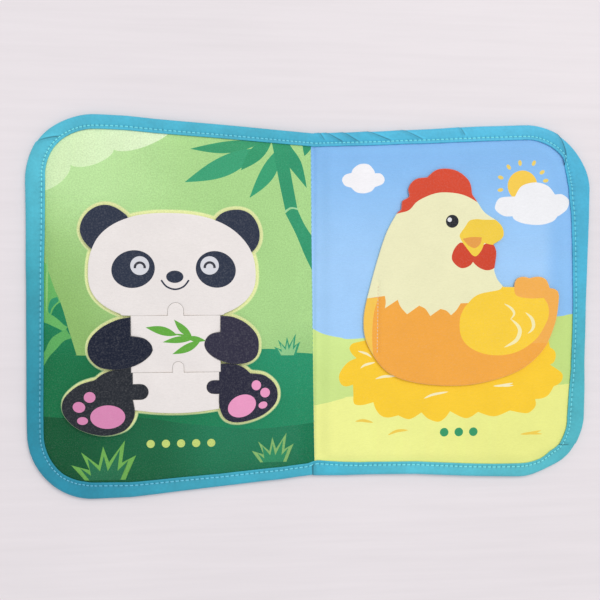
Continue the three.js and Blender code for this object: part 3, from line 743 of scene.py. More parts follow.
# %% Left page shapes
grove = [
    (lobed([(-172, 73.5, 0.2), (-152.4, 89, 0.17), (-125.6, 98.6, 0.13), (-90, 112, 0), (-90, 130, 0),
     (-192, 130, 0), (-192, 73.5, 0)]), lambda x, y: between("#e3f6ca", "#d8f2bb", ease(-x, 90, 80))),
    (leaf((-33, 104.5), (-78.5, 99.5), 7.6, 1.2), "#3a9c6c"),
    (leaf((-35, 100), (-82, 78.6), 12.4, 1.0), "#3ba375"),
    (leaf((-27, 106), (-46.6, 86.4), 8.8, -0.6), "#339a6b"),
    (leaf((-21.5, 101), (-41.2, 69), 9.2, 1.6), "#37a272"),
    (drawn([(-17.5, 107), (-14.6, 101.8), (-8.4, 92.5), (-5.8, 83.2), (-4.4, 75.6)], [(-10.6, 82.6),
     (-15.5, 88.4), (-18, 92)]), "#2f976b"),
    (leaf((-2, 110), (-6.0, 96), 6.4, 0.0), "#2f976b"),
    (drawn([(-27.6, 108), (-25.5, 97), (-22.4, 80), (-18.4, 61.3)], [(-14.7, 63.4), (-10.6, 62.2)],
     [(-13.6, 78), (-16.6, 96), (-17, 108)]), "#31996c"),
    (drawn([(-18.4, 59.4), (-14.6, 62.2), (-10.4, 61.6)], [(-5.4, 51.5), (4, 38)], [(4, 14)], [(-4.5, 30),
     (-12, 47), (-18.4, 59.4)]), "#31996c"),
    (stroke([(-18.6, 60.4), (-14.8, 62.9), (-10.3, 62.2)], 0.9, taper=False), "#9ed6a0"),
    (drawn([(-176, 34), (-169, 28), (-166, 20.2), (-162.8, 10.9), (-160.1, 4.6), (-157.5, -3.6),
     (-155.1, -13)], [(-153.4, -18.7), (-150.1, -30.1)], [(-145.8, -30.5), (-90, -32.6), (-33.7, -27.4),
     (-15.4, -29.5), (5, -31.4)], [(5, -130)], [(-190, -130)], [(-190, 34)]), grove_ground),
    (drawn([(-190, -68.8), (-170.7, -69.1), (-153.4, -70), (-113, -70.4), (-79.6, -75.2), (-40, -79),
     (-12, -77), (5, -76)], [(5, -130)], [(-190, -130)]), grove_shade),
    (drawn([(-176, 34), (-169, 28), (-166, 20.2), (-162.8, 10.9), (-160.1, 4.6)], [(-159.5, 3.3),
     (-161.7, 1.8), (-163.9, -1), (-165.4, -4.8)], [(-169.1, -4.8)], [(-180, -4)]), "#68b55f"),
    (drawn([(-167.2, -2.9), (-167, 0.9), (-165.3, 4.9), (-161.5, 6.5)], [(-160.7, 4), (-162.9, 1.8),
     (-165.1, -1), (-166, -4.2)]), "#2c9366"),
    (drawn([(-178, -3.6), (-169.1, -4.8), (-165.1, -4.8), (-161.2, -7.6), (-157.9, -10.8), (-155.4, -12.4)],
     [(-157.9, -14.9), (-162.5, -12.7), (-169.2, -9.8), (-178, -8)]), "#67b561"),
    (drawn([(-156.4, -13.7), (-160.1, -15.8), (-164.4, -18.6), (-167.5, -22.7), (-170.1, -28), (-176, -34)],
     [(-174, -42), (-170.2, -36.2), (-167.1, -31.2), (-162.7, -26.5), (-157.7, -21.2), (-152.8, -19.4)]),
     "#5dac5c"),
    (stroke([(-167.6, 34), (-167.5, 23.4), (-168, 10.9), (-168.2, -3.5)], 1.5), "#8fca77"),
]
grove += tuft(-134, -110.5, 40.5, 25.5, "#6fae50", "#226f4a")
grove += tuft(-26.6, -101, 27, 19, "#86b76b", "#2c8c5f")
grove += tuft(-17.2, -31.6, 17, 14, "#2f9a70", "#8fc98a")
for k in range(5):
    grove.append((ellipse(-104.5 + 9.6 * k, -87.6, 2.6, 2.6, steps=20), "#c6d875"))
print("left page print:", len(grove), "shapes")

# %% [markdown]
# ## Inks of the right page
# The sky deepens upwards and the hills grow greener to the right. Sky, hill and meadow are three bands.
# Each is drawn as everything below its upper line, and the next one covers its lower part.

# %% Inks and bands of the right page
def sky(x, y):
    far = between("#a4d0fa", "#87bdf0", ease(y, 20, 90))
    return between(far, "#87bdf0", 0.75 * ease(x, 150, 12))


def hill(x, y):
    near = between("#d6ee92", "#d0e88b", ease(-y, 20, 30))
    return between(near, "#c5e082", ease(x, 100, 60))


def meadow(x, y):
    return between("#f3f694", "#eef08c", ease(x, 20, 120))


def ground_below(top_line, outer):
    """Everything on the right page below a line drawn from right to left, as far as the fold."""
    return [(outer, -130)] + top_line + [(fold_line(y), y) for y in np.arange(128, -130, -2)
                                         if y < top_line[-1][1] - 1]


print("the sky low and high:", sky(80, 10), sky(80, 100))

# %% [markdown]
# ## Print of the right page
# The right page is a meadow under a blue sky, with a sun, two clouds and a straw nest for the hen to sit
# on. The nest's edge is a line through its straws, drawn in smooth stretches that meet in corners.

# %% Right page shapes
meadow_print = [
    (ground_below([(200, 130), (fold_line(130), 130)], 200), sky),
    (ground_below(bend([(198, -4), (171.5, -6.2), (161.3, -7.6), (120, -10), (70, -17.4), (26.9, -21.3),
     (17.1, -20.4), (8.6, -18.7), (4, -17.1), (fold_line(-14.6), -14.6)]), 198), hill),
    (ground_below(bend([(196, -50.6), (172.3, -52.1), (166.9, -53), (90, -56), (25.1, -59), (20.5, -59.9),
     (7.4, -63.3), (fold_line(-65), -65)]), 196), meadow),
    (drawn([(24.2, 85.5), (25.5, 88.3), (29.7, 91.1), (35.2, 91), (38.7, 87.5), (39.4, 85.4)],
     [(43.4, 85.1), (45.7, 81.8), (44.4, 78.6), (39.5, 76.6)], [(37, 73.8), (32.2, 72.5), (27.3, 73.3),
     (24, 76.1)], [(20, 77.4), (18.1, 80.9), (20, 84.1), (24.2, 85.5)]), "#f7f5f6"),
    (ellipse(137.2, 78.2, 10, 10), "#f9cf50"),
]
for ray_x, ray_y in ((122.4, 75.4), (122.5, 83.5), (127.8, 90.3), (135.3, 93), (144.6, 93), (150.3, 87.1),
                     (152.8, 81.7)):
    outwards = math.degrees(math.atan2(ray_y - 78.2, ray_x - 137.2))
    meadow_print.append((ellipse(ray_x, ray_y, 1.9, 1.2, outwards), "#efd26a"))
meadow_print += [
    (drawn([(132.2, 71.2), (136.8, 78.1), (146.2, 80.5), (154.4, 78.2), (159.2, 72.7)], [(164.3, 72.8),
     (169.2, 69.2), (168.2, 63.6), (163.5, 59.7), (161.2, 58.5)], [(157.8, 55), (149.4, 52.8),
     (139.2, 53.5), (132.4, 55.9), (130.7, 58.3)], [(125, 58.5), (119.9, 61.7), (118.9, 64.9),
     (122.2, 70.2), (132.2, 71.2)]), "#f2f2f3"),
    (drawn([(33.4, -22.5), (28.2, -23.6), (24.9, -24.7), (23.3, -27.6), (25, -31.2), (27.9, -33.9)],
     [(22.4, -36.6), (18.1, -41.6), (16.5, -46.1), (17.8, -50.7), (21.1, -52.4), (25.7, -51.3)],
     [(26, -57.4), (26.1, -62.6), (27.7, -64.5), (32.3, -64.7), (39.2, -63)], [(40.9, -67.8), (44.2, -71.8),
     (48.9, -73.2), (55.7, -71.9)], [(63.1, -74.5), (71.1, -70.2)], [(75.5, -74.3), (82.2, -76.6),
     (86.9, -74.1), (90.2, -69.7)], [(101.1, -74.5), (109.1, -70.5)], [(120, -73.6), (130.8, -69.9)],
     [(141.8, -71.9), (146.2, -69.8), (148.4, -66.5), (148, -62.5)], [(152.9, -62), (157.2, -59.6),
     (160.5, -54.1)], [(164, -52.5), (166.4, -49.2), (165.5, -45), (157.7, -39.6)], [(160.3, -37.9),
     (161.5, -34), (160.6, -30.3), (157.5, -28.1)], [(150, 4)], [(45, 4)]), "#fdcf31"),
]
print("sky, hill, meadow, clouds, sun and nest:", len(meadow_print), "shapes")

# %% [markdown]
# ## Straws, eggs and dots
# Loose straws lie on the nest and on the ground, each one a short stroke. Under the hen, where only a
# lifted flap shows it, the nest goes on and holds three plain eggs. Three dots stand where the real page
# has a word.

# %% Straws, eggs and dots
NEST_STRAWS = [  # a line and its width
    ([(28.9, -29.3), (34.8, -31.3), (37.8, -33.6)], 1.5),
    ([(30.6, -40.6), (33.5, -38.5), (40.1, -36.8)], 1.6),
    ([(40.5, -47.7), (46.1, -46.2), (54, -46.1)], 1.7), ([(72.7, -61), (78.7, -58.5), (88.8, -56.8)], 1.6),
    ([(119.4, -53.4), (125.2, -53.1), (132.6, -51.6)], 1.6),
    ([(123.1, -53.1), (127.2, -53.4), (133, -53.2)], 1.3),
]
GROUND_STRAWS = [
    ([(27.4, -75.4), (32.4, -74.9), (39, -76.3)], 1.9), ([(49, -84.7), (54.9, -82.2), (62.2, -81.8)], 1.9),
    ([(138.2, -85.9), (145.4, -85.2), (152.2, -83.7)], 1.8),
    ([(139.9, -85.6), (146.1, -85.5), (153, -86)], 1.5),
]
meadow_print += [(stroke(line, width), "#f9efc0") for line, width in NEST_STRAWS]
meadow_print += [(stroke(line, width), "#f4d052") for line, width in GROUND_STRAWS]
meadow_print += [
    (drawn([(52, -8), (70, -3), (100, -2), (128, -5), (142, -12)], [(132, -34), (100, -41), (66, -38),
     (50, -26), (52, -8)]), "#eeb32f"),
    (ellipse(76, -17, 12.5, 9.6, 12), "#f6ead6"),
    (ellipse(117, -18, 12.5, 9.6, -10), "#f6ead6"),
    (ellipse(97, -21, 13, 10, 2), "#fbf3e4"),
]
for k in range(3):
    meadow_print.append((ellipse(86.5 + 9.8 * k, -83.6, 2.9, 2.9, steps=20), "#349a66"))
print("right page print:", len(meadow_print), "shapes")

# %% [markdown]
# ## The puzzle's outlines
# The seven puzzle pieces are die-cut, so their visual pieces take the outlines of the solids: the rim of
# each solid's upper face, smoothed between its corners. Felt is soft, so the head lies a little askew.

# %% Outlines from the solids
PIECES = ["head", "torso", "belly", "left_arm", "right_arm", "left_leg", "right_leg"]


def top_outline(node_name):
    """The rim of a flat solid's upper face, in millimetres, anticlockwise."""
    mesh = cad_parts[node_name].data
    top = max(v.co.z for v in mesh.vertices)
    place = {v.index: (round(v.co.x / MM, 3), round(v.co.y / MM, 3)) for v in mesh.vertices
             if v.co.z > top - 1e-5}
    faces = [[place[k] for k in p.vertices] for p in mesh.polygons if all(k in place for k in p.vertices)]
    flat = [f for f in faces if len(set(f)) == len(f)]
    return max((counter_clockwise(loop) for loop in rim_of(flat)), key=len)


def smoothed(ring, step=0.9, corner=32):
    """Bends the ring through its points, and keeps the corners that turn by more than corner degrees."""
    pts = [np.array(p) for p in ring]
    count = len(pts)

    def turn(i):
        a, b = pts[i] - pts[i - 1], pts[(i + 1) % count] - pts[i]
        return abs(math.degrees(math.atan2(a[0] * b[1] - a[1] * b[0], a @ b)))

    sharp = [i for i in range(count) if turn(i) > corner]
    if not sharp:
        return bend(ring, step, closed=True)
    line = []
    for a, b in zip(sharp, sharp[1:] + [sharp[0] + count]):
        line += bend([tuple(pts[i % count]) for i in range(a, b + 1)], step)[:-1]
    return line


def leaned(ring):
    """The head's felt as it lies in the photo: pushed askew by up to a millimetre, more so at the ears."""
    pts = np.array(ring)
    up = ease(pts[:, 1], 4.4, 30)
    pts[:, 0] -= 0.6 * ease(pts[:, 1], 34, 14)
    pts[:, 1] -= (pts[:, 0] + 89.8) * 0.0185 * up
    return [tuple(p) for p in pts]


def pulled(ring, pulls):
    """The ring with a few soft pulls on it. A pull is a place, how far it goes in x and y, and its reach."""
    pts = np.array(ring)
    for at_x, at_y, pull_x, pull_y, reach in pulls:
        share = np.exp(-((pts - (at_x, at_y)) ** 2).sum(1) / reach ** 2)
        pts = pts + share[:, None] * (pull_x, pull_y)
    return [tuple(p) for p in pts]


EAR_PULLS = [(-147.7, 48, -0.5, 0, 8), (-131, 65, 0, 0.4, 8), (-116, 58, 1.3, 0.4, 4),
    (-52, 63, 0, -0.7, 8), (-36, 52, -0.5, -0.2, 8)]
outlines = {name: smoothed(top_outline("puzzle_" + name)) for name in PIECES}
outlines["head"] = pulled(leaned(outlines["head"]), EAR_PULLS)
print("puzzle outlines:", {name: len(ring) for name, ring in outlines.items()})

# %% [markdown]
# ## The line round the animal
# The page has a pale yellow line printed round the whole animal, which shows a child where the pieces go.
# It is each piece's outline, grown by about two millimetres and round at the corners. A rim in a tone
# between the line and the green stands for the soft edge of the ink.

# %% Pale line round the puzzle
def grown_round(ring, distance):
    """The ring's line at an even distance outside it, round at its corners."""
    pts = np.array(bend(ring, 0.8) + [ring[0]])
    edge = np.roll(pts, -1, 0) - pts
    keep = np.linalg.norm(edge, axis=1) > 1e-6
    pts, edge = pts[keep], edge[keep]
    angle = np.unwrap(np.arctan2(-edge[:, 0], edge[:, 1]))
    line = []
    for k in range(len(pts)):
        before, after = angle[k - 1], angle[k]
        if k == 0:
            before += 2 * math.pi * round((after - before) / (2 * math.pi))
        fan = np.linspace(before, after, max(2, int(abs(after - before) / 0.25) + 1))
        line += [pts[k] + distance * np.array([math.cos(a), math.sin(a)]) for a in fan]
    line = np.array(line)
    gap = np.sqrt(((line[:, None, :] - pts[None, :, :]) ** 2).sum(2).min(1))
    return [tuple(p) for p in line[gap > distance - 0.06]]


def halo_rim(x, y):
    """The soft outer rim of the yellow line, half way to the green that it lies on."""
    return "#d3e8a2" if y > -30 else "#a3c993"


halo_widths = {"head": 2.5, "right_leg": 2.3, "left_leg": 1.7}
halo = []
for rim, ink in ((0.0, halo_rim), (0.5, "#eef4ae")):
    for name in PIECES:
        grown = grown_round(outlines[name], halo_widths.get(name, 2.1) - rim)
        askew = 0.6 if name == "left_leg" else 0
        halo.append(([(x + askew, y + askew) for x, y in grown], ink))
print("the pale line:", len(halo), "shapes")

# %% [markdown]
# ## The line of the edge
# Cloth and tape follow the same edge. The even pattern's edge is worked out first, as straight stretches
# and round corners with the direction outwards at each point. A point is then moved inwards by what it
# needs and to where the sewn cloth lies.

# %% Edge of the book
def edge_line(step=1.5):
    """The even pattern's outer edge: points, outward directions and distance along the edge."""
    tilt = np.array([-math.sin(SLOPE), math.cos(SLOPE)])
    centre = np.array([CORNER_X, CORNER_Y])
    start, turn_in = np.array([0, FOLD_HEIGHT / 2]), centre + CORNER_RADIUS * tilt
    count = math.ceil(np.linalg.norm(turn_in - start) / step)
    line = [(start + (turn_in - start) * k / count, tilt) for k in range(count)]
    sweep = math.pi / 2 + SLOPE
    count = math.ceil(sweep * CORNER_RADIUS / step)
    for k in range(count):
        a = sweep * (1 - k / count)
        way = np.array([math.cos(a), math.sin(a)])
        line.append((centre + CORNER_RADIUS * way, way))
    count = math.ceil(CORNER_Y / step)
    line += [(np.array([PAGE_WIDTH, CORNER_Y * (1 - k / count)]), np.array([1.0, 0.0]))
             for k in range(count)]
    down = [(p * (1, -1), n * (1, -1)) for p, n in line[:0:-1]]
    right = line + [(np.array([PAGE_WIDTH, 0.0]), np.array([1.0, 0.0]))] + down
    left = [(p * (-1, 1), n * (-1, 1)) for p, n in right[::-1]]
    low = [(np.array([0, -FOLD_HEIGHT / 2]), np.array([0.0, -1.0]))]
    line = [(start, np.array([0.0, 1.0]))] + right[1:] + low + left[:-1]
    points, ways = np.array([p for p, _ in line]), np.array([n for _, n in line])
    along = np.concatenate([[0], np.cumsum(np.linalg.norm(np.diff(points, axis=0), axis=1))])
    return points, ways, along


def sewn(points, ways, inset):
    """Points of the pattern's edge, moved inwards by an even inset and then to where the cloth has them."""
    stitched = stitched_at(*points.T)
    in_by = np.where(inset < STITCH_INSET, inset * stitched / STITCH_INSET, inset - STITCH_INSET + stitched)
    flat = points - ways * in_by[:, None]
    return flat + np.column_stack(off_pattern(*flat.T))


def cloth_line(inset, step=1.5):
    points, ways, _ = edge_line(step)
    return [tuple(p) for p in sewn(points, ways, inset)]


print("round the pattern's edge:", round(edge_line()[2][-1]), "mm")

# %% [markdown]
# ## The printed cloth
# One printed cloth runs over both pages, so its points are shared between the two pages at the fold.
# Rows of points close to the fold let the seam sink into it. The back of the book is one plain cloth of
# the same cut.

# %% Printed front cloth and plain back cloth
def bends_at_fold(piece):
    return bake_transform(piece)


fold_rows = [(fold_line(y) + dx, y) for y in np.arange(-112, 112, 1.7)
             for dx in (-3.2, -2.3, -1.6, -1.0, -0.5, 0.5, 1.0, 1.6, 2.3, 3.2)]
cloth_ring = cloth_line(1.8)
front_cloth = felt_piece("front_cloth", cloth_ring, grove_pale_green_and_shade, grove + halo + meadow_print, page_top,
                         front_bottom, page_felt, extra=fold_rows)
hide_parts("left_front_felt", "right_front_felt", "fold_strip")
back_cloth = felt_piece("back_cloth", cloth_ring, "#3fa9c4", [], back_top, page_bottom, plain_felt,
                        spacing=3.0, under="#3fa9c4", extra=fold_rows)
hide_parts("left_back_felt", "right_back_felt")
for cloth in (front_cloth, back_cloth):
    bends_at_fold(cloth)
print("front cloth:", len(front_cloth.data.polygons), "faces; back cloth:", len(back_cloth.data.polygons))

# %% [markdown]
# ## Padding
# A layer of polyester wadding lies in each page and gives it its soft height. It is sewn in nowhere but
# at the fold and the edge, and can be seen only where the book is cut open, so it is a plain soft slab.

# %% Wadding in both pages
def wadding_slab(name, side):
    """The wadding of the left page (side -1) or the right page (side 1)."""
    span = [p for p in cloth_line(TAPE_WIDTH + 2.2, 3.0) if p[0] * side > FOLD_HALF + 1.5]
    slab = felt_piece(name, span, "#f2f0ec", [], lambda x, y: page_bottom(x, y) + 1.12
                      + np.maximum(padding_height(x, y) - unevenness(x, y) - 0.05, 0.12),
                      lambda x, y: page_bottom(x, y) + 1.05, wadding, spacing=6.0, edge=0.05)
    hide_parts(("left" if side < 0 else "right") + "_padding")
    return bends_at_fold(slab)


waddings = [wadding_slab("left_wadding", -1), wadding_slab("right_wadding", 1)]
print("wadding:", [len(w.data.polygons) for w in waddings])

# %% [markdown]
# ## Course of the tape
# The tape is one strip, folded round the edge of the felts and sewn through all layers two millimetres
# from its inner edge. Every place on it is given by how far along the edge it lies, and how far in.

# %% Course of the tape
TAPE_THICKNESS = 0.6
NOSE = 3.0  # how far in the rounded outer edge reaches
MIDDLE = TAPE_TOP / 2
line_points, line_ways, line_along = edge_line(0.25)
perimeter = line_along[-1] + np.linalg.norm(line_points[-1] - line_points[0])
for _ in range(12):
    line_ways = (np.roll(line_ways, 1, 0) + line_ways + np.roll(line_ways, -1, 0)) / 3
line_ways /= np.linalg.norm(line_ways, axis=1)[:, None]


def along_at(x, y):
    """The distance along the edge of the place nearest to (x, y)."""
    return float(line_along[np.argmin(np.hypot(line_points[:, 0] - x, line_points[:, 1] - y))])


print("tape:", round(perimeter), "mm long")

# %% [markdown]
# ## Tucks, painted light and shade on the tape, and stitches
# Where the sewer bent the strip, small slanting tucks lie under the stitches, a larger pleat takes up the
# upper right corner, and at the lower end of the fold the strip's end laps over its start. The tape's
# colour is painted paler on the side that faces the window and darker away from it: painted light and
# shade. The machine's stitches came out longer on the sides.

# %% Tucks, painted light on the tape, and stitches
TUCK_INSET = 5.0  # how far in the place of a slanting tuck is meant
TUCK_DROP = 0.5  # the length in which the cloth drops at a tuck's line
TUCKS = [  # place, slant across the tape, height, reach along it, and between which insets it lies
    (along_at(6.3, 111), 0.5, 0.35, 5, 0, 5.5), (along_at(15.2, 111), 1.4, 0.5, 7, 0, 7.5),
    (along_at(25.3, 112), 1.3, 0.45, 7, 0, 7.5), (along_at(45, 113), 2.0, 0.5, 9, 0, 7.5),
    (along_at(66.6, 115), 1.7, 0.35, 7, 0, 7.5), (along_at(98, 117), 0.5, 0.3, 5, 1, 6),
    (along_at(168, 110), 1.9, 0.8, 12, 0, 11), (along_at(175, -102), 0.8, 0.4, 6, 4.5, 11),
    (along_at(-0.5, -111), 0.0, 0.5, 10, 0, 8.5), (along_at(-168.5, 109.4), 1.9, 0.5, 7, 1.5, 8.2),
]
# The tape's colour round the book: its dye with painted light and shade, paler towards the window and darker
# away from it.
TAPE_DYE_AND_SHADE = [  # a few places round the edge: the side away from the window is darker
    (10, 111, "#44b8da"), (148, 119, "#4fc0e2"), (180, 90, "#43b4d6"), (182, 20, "#44b6d6"),
    (182, -40, "#44b4c1"), (157, -117, "#55c0cc"), (69, -115, "#56c7da"), (10, -111, "#42b8d1"),
    (-89, -116, "#35a5bc"), (-148, -119, "#1c91ac"), (-182, -60, "#188ea4"), (-182, 20, "#36a7b9"),
    (-178, 98, "#57c6da"), (-128, 119, "#48bad5"), (-30, 112, "#3cb0c9"),
]
STITCH_LENGTHS = [(0, 111, 2.4), (30, 112, 2.9), (150, 118, 3.1), (182, 60, 3.5), (182, -60, 3.5),
    (90, -117, 3.2), (-90, -117, 3.2), (-182, 0, 3.5), (-150, 118, 3.1), (-30, 112, 2.8)]


def needle_holes():
    """Distances along the edge where the needle went in."""
    holes = [0.0]
    while holes[-1] < perimeter:
        x, y = line_points[np.searchsorted(line_along, holes[-1]) % len(line_along)]
        holes.append(holes[-1] + float(round_book(STITCH_LENGTHS, x, y)))
    return np.array(holes) * perimeter / holes[-1]


holes = needle_holes()


def tape_dye_and_shade(x, y):
    """The tape's linear colour, its dye with painted light and shade, at points of the edge, one row each.
    """
    return np.column_stack([round_book([(a, b, linear(ink)[k]) for a, b, ink in TAPE_DYE_AND_SHADE], x, y)
                            for k in range(3)])


print("tape:", len(TUCKS), "tucks,", len(holes) - 1, "stitches a side")

# %% [markdown]
# ## Relief of the tape
# The stitches pull the tape down, and its inner lip stands up a little between them. Each tuck raises the
# cloth before it and drops at a line, with painted shade along the line and a painted highlight beside it.
# The same function gives the height and the painted shade, so that a crease is painted dark just where it
# is deep. The needle holes get painted shade too.

# %% Relief of the tape
def tuck_gap(place, slant, along, inset):
    """How far points lie before a tuck's line, which slants across the tape."""
    return place + slant * (inset - TUCK_INSET) - along


def on_edge(along, inset):
    """Where a point of the tape lies, from its distance along the edge and in from it. The edge wanders a
    little, as a hand-folded one does, and each tuck pushes it out."""
    along = np.asarray(along, float) % perimeter
    knots = np.append(line_along, perimeter)
    pick = [np.interp(along, knots, np.append(c, c[0])) for c in (*line_points.T, *line_ways.T)]
    wander = 0.25 * ripple(along / 31, 0 * along, 1.0, 5.0)
    for place, slant, height, reach, _, _ in TUCKS:
        gap = tuck_gap(place, slant, along, inset)
        step = np.exp(-np.maximum(gap, 0) / reach) * ease(gap, 0, TUCK_DROP)
        wander = wander + height * step * (1 - ease(inset, 0, 6))
    return sewn(np.column_stack(pick[:2]), np.column_stack(pick[2:]), np.asarray(inset, float) - wander)


def tape_relief(along, inset):
    """Height of the tape's face over its plain section, and the painted shade of its creases and needle
    holes, with a painted highlight beside each tuck.
    """
    phase = np.cos(2 * math.pi * np.interp(along % perimeter, holes, np.arange(len(holes))))
    in_row = np.exp(-((inset - STITCH_INSET) / 0.95) ** 2)
    waves = 0.4 + 0.6 * ripple(along / 5.2, inset * 0, 1.0, 2.0)
    lip = 0.16 * ease(inset, STITCH_INSET + 0.6, 1.2) * waves
    puff = 0.13 * ripple(along / 5.0 + inset * 0.08, inset / 9, 1.0, 9.0) * ease(inset, 0.8, 3)
    rise = lip + puff - STITCH_PULL * in_row * (0.8 + 0.2 * phase)
    # Painted shade at the needle holes.
    shade = 1 - 0.4 * in_row * np.clip(phase, 0, 1) ** 2
    for place, slant, height, reach, start, end in TUCKS:
        gap = tuck_gap(place, slant, along, inset)
        here = ease(inset, start - 0.8, 0.8) * (1 - ease(inset, end - 0.8, 0.8))
        rise = rise + height * here * np.exp(-np.maximum(gap, 0) / reach) * ease(gap, 0, TUCK_DROP)
        off = gap / math.hypot(1, slant)  # square to the tuck's line
        # Painted shade along each tuck's line and just before it, and a painted highlight just after it.
        dark = (0.3 + 0.7 * height) * np.exp(-((off - 0.1) / (0.22 + 0.34 * height)) ** 2)
        dark = dark + 0.14 * np.exp(-((off - 1.3) / 0.9) ** 2)
        shade = shade * (1 - here * (dark - 0.12 * np.exp(-((off + 1.1) / 0.6) ** 2)))
    return rise, shade


def nose_rise(inset):
    """Height of the plain section over its middle: flat, then rounded down to the outer edge."""
    return MIDDLE * np.clip(1 - np.clip(1 - inset / NOSE, 0, 1) ** 2.2, 0, 1) ** (1 / 2.2)


def face_shift(along, inset, upper):
    """How far the tape's upper or lower face lies off the plain section, and its painted shade."""
    relief, shade = tape_relief(along, inset)
    relief = relief * ease(inset, 0.2, 2.5)
    return np.where(upper, relief, -np.minimum(relief * 0.8, 0.0)), shade


print("the upper face at a needle hole:", round(float(face_shift(holes[9], STITCH_INSET, True)[0]), 2), "mm")

# %% [markdown]
# ## Section and stations
# The section has few points on its flat part and more at the stitches and the rounded edge. It stands at
# about every millimetre of the edge. Where there is a tuck, it stands closer and leans with the tuck, so
# that the tuck's line falls on a row of points.

# %% Section and stations
def tape_section():
    """The tape's flat section as rows of inset and height: its outer face, then its inner face back."""
    insets = np.array([10.0, 9.5, 8.8, 8.4, 8.0, 7.6, 7.1, 6.2, 5.0, 3.8, 2.6, 1.6, 0.8, 0.3])
    outer = [(u, MIDDLE + r) for u, r in zip(insets, nose_rise(insets))] + [(0.0, MIDDLE)]
    outer += [(u, 2 * MIDDLE - z) for u, z in outer[-2::-1]]
    outer = np.array(outer)
    ahead = np.gradient(outer, axis=0)
    ahead /= np.linalg.norm(ahead, axis=1)[:, None]
    inner = outer + np.column_stack([-ahead[:, 1], ahead[:, 0]]) * TAPE_THICKNESS
    upper_lip, lower_lip = (TAPE_WIDTH + 0.2, TAPE_TOP - 0.3), (TAPE_WIDTH + 0.2, 0.3)
    return np.concatenate([outer, [lower_lip], inner[::-1], [upper_lip]])


section = tape_section()
quarters = np.arange(len(holes) * 4 - 4) / 4
steps = [np.interp(quarters, np.arange(len(holes)), holes)]
LEAN_REACH = 16.0  # how far from a lone tuck the section stands straight again
leans = []
for place, slant, *_ in TUCKS:
    foot = place + slant * (STITCH_INSET - TUCK_INSET)
    leans.append((foot, slant))
    leans += [(end, 0.0) for end in (foot - LEAN_REACH, foot + LEAN_REACH)
              if min(abs(end - other) for other, *_ in TUCKS) > LEAN_REACH - 1]
    steps.append(np.arange(foot - 2.4, foot + 1.2, 0.2))
stations = np.unique(np.round(np.concatenate(steps) % perimeter, 2))
keep = np.diff(np.append(stations, perimeter + stations[0])) > 0.12
stations = stations[keep]
print("tape:", len(stations), "stations of", len(section), "points")

# %% [markdown]
# ## Tape along the edge
# The section is now carried round the edge, one ring of points at each station. The map for the weave is
# laid on the same grid in metres, along the tape and across it, so that the weave never stretches.

# %% Tape along the edge
def make_binding():
    """The tape round the whole book, with its weave's map and its dye with painted light and shade."""
    grid_along, grid_inset = np.meshgrid(stations, section[:, 0], indexing="ij")
    lean = np.interp(stations, *zip(*leans), period=perimeter)
    grid_along = grid_along + lean[:, None] * (grid_inset - STITCH_INSET)
    heights = np.tile(section[:, 1], (len(stations), 1))
    shift, shade = face_shift(grid_along, grid_inset, heights > MIDDLE)
    heights = heights + shift
    flat = on_edge(grid_along.ravel(), grid_inset.ravel())
    points = np.column_stack([flat, heights.ravel()])
    rows, size = len(stations), len(section)
    faces = [(r * size + k, ((r + 1) % rows) * size + k, ((r + 1) % rows) * size + (k + 1) % size,
              r * size + (k + 1) % size) for r in range(rows) for k in range(size)]
    tape = new_piece("binding", points, faces, binding_tape)
    gaps = np.linalg.norm(np.diff(section, axis=0), axis=1)
    across = np.concatenate([[0], np.cumsum(gaps)])
    weave = tape.data.uv_layers.new(name="weave")
    ahead = np.vstack([grid_along[1:], grid_along[:1] + perimeter])
    low, high = across, across + np.append(gaps, TAPE_THICKNESS)
    corners = [(grid_along, low), (ahead, low), (np.roll(ahead, -1, 1), high),
               (np.roll(grid_along, -1, 1), high)]
    flat_map = [np.stack([u, np.broadcast_to(v, u.shape)], -1) for u, v in corners]
    weave.data.foreach_set("uv", (np.stack(flat_map, 2) * MM).ravel())
    # The tape's dye with its painted light and shade, times the painted shade of creases and needle holes.
    dye = np.column_stack([tape_dye_and_shade(*flat.T) * shade.ravel()[:, None], np.ones(len(flat))])
    give_ink(tape, dye, "POINT")
    return tape


binding = make_binding()
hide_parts("left_binding", "right_binding", "fold_binding_top", "fold_binding_bottom")
bends_at_fold(binding)
print("binding:", len(binding.data.polygons), "faces")

# %% [markdown]
# ## Thread
# All the stitches of a seam are one mesh of small bent tubes. Sewing thread is 0.2 to 0.3 mm thick. On the
# tape and the hen it is drawn at twice that, so that it shows from half a metre away.

# %% Thread
SIDES = 6  # of a thread's tube


def thread_mesh(name, stitches, radius, dye):
    """Small tubes with closed ends along the stitches' points. dye(x, y) gives rows of linear colour."""
    points, faces = [], []
    for stitch in stitches:
        stitch = np.array(stitch)
        ahead = np.gradient(stitch, axis=0)
        ahead /= np.linalg.norm(ahead, axis=1)[:, None]
        side = np.cross(ahead, (0, 0, 1.0))
        side /= np.linalg.norm(side, axis=1)[:, None] + 1e-9
        up = np.cross(side, ahead)
        start = len(points)
        for k, centre in enumerate(stitch):
            r = radius * (0.55 if k in (0, len(stitch) - 1) else 1.0)
            points += [centre + r * (math.cos(a) * side[k] + math.sin(a) * up[k])
                       for a in np.arange(SIDES) * math.pi / (SIDES // 2)]
        for k in range(len(stitch) - 1):
            this, following = start + SIDES * k, start + SIDES * (k + 1)
            faces += [(this + i, this + (i + 1) % SIDES, following + (i + 1) % SIDES, following + i)
                      for i in range(SIDES)]
        last = start + SIDES * (len(stitch) - 1)
        faces += [tuple(start + i for i in reversed(range(SIDES))), tuple(last + i for i in range(SIDES))]
    seam = new_piece(name, points, faces, sewing_thread)
    ink = np.ones((len(points), 4))
    ink[:, :3] = dye(*np.array(points)[:, :2].T)
    give_ink(seam, ink, "POINT")
    return seam


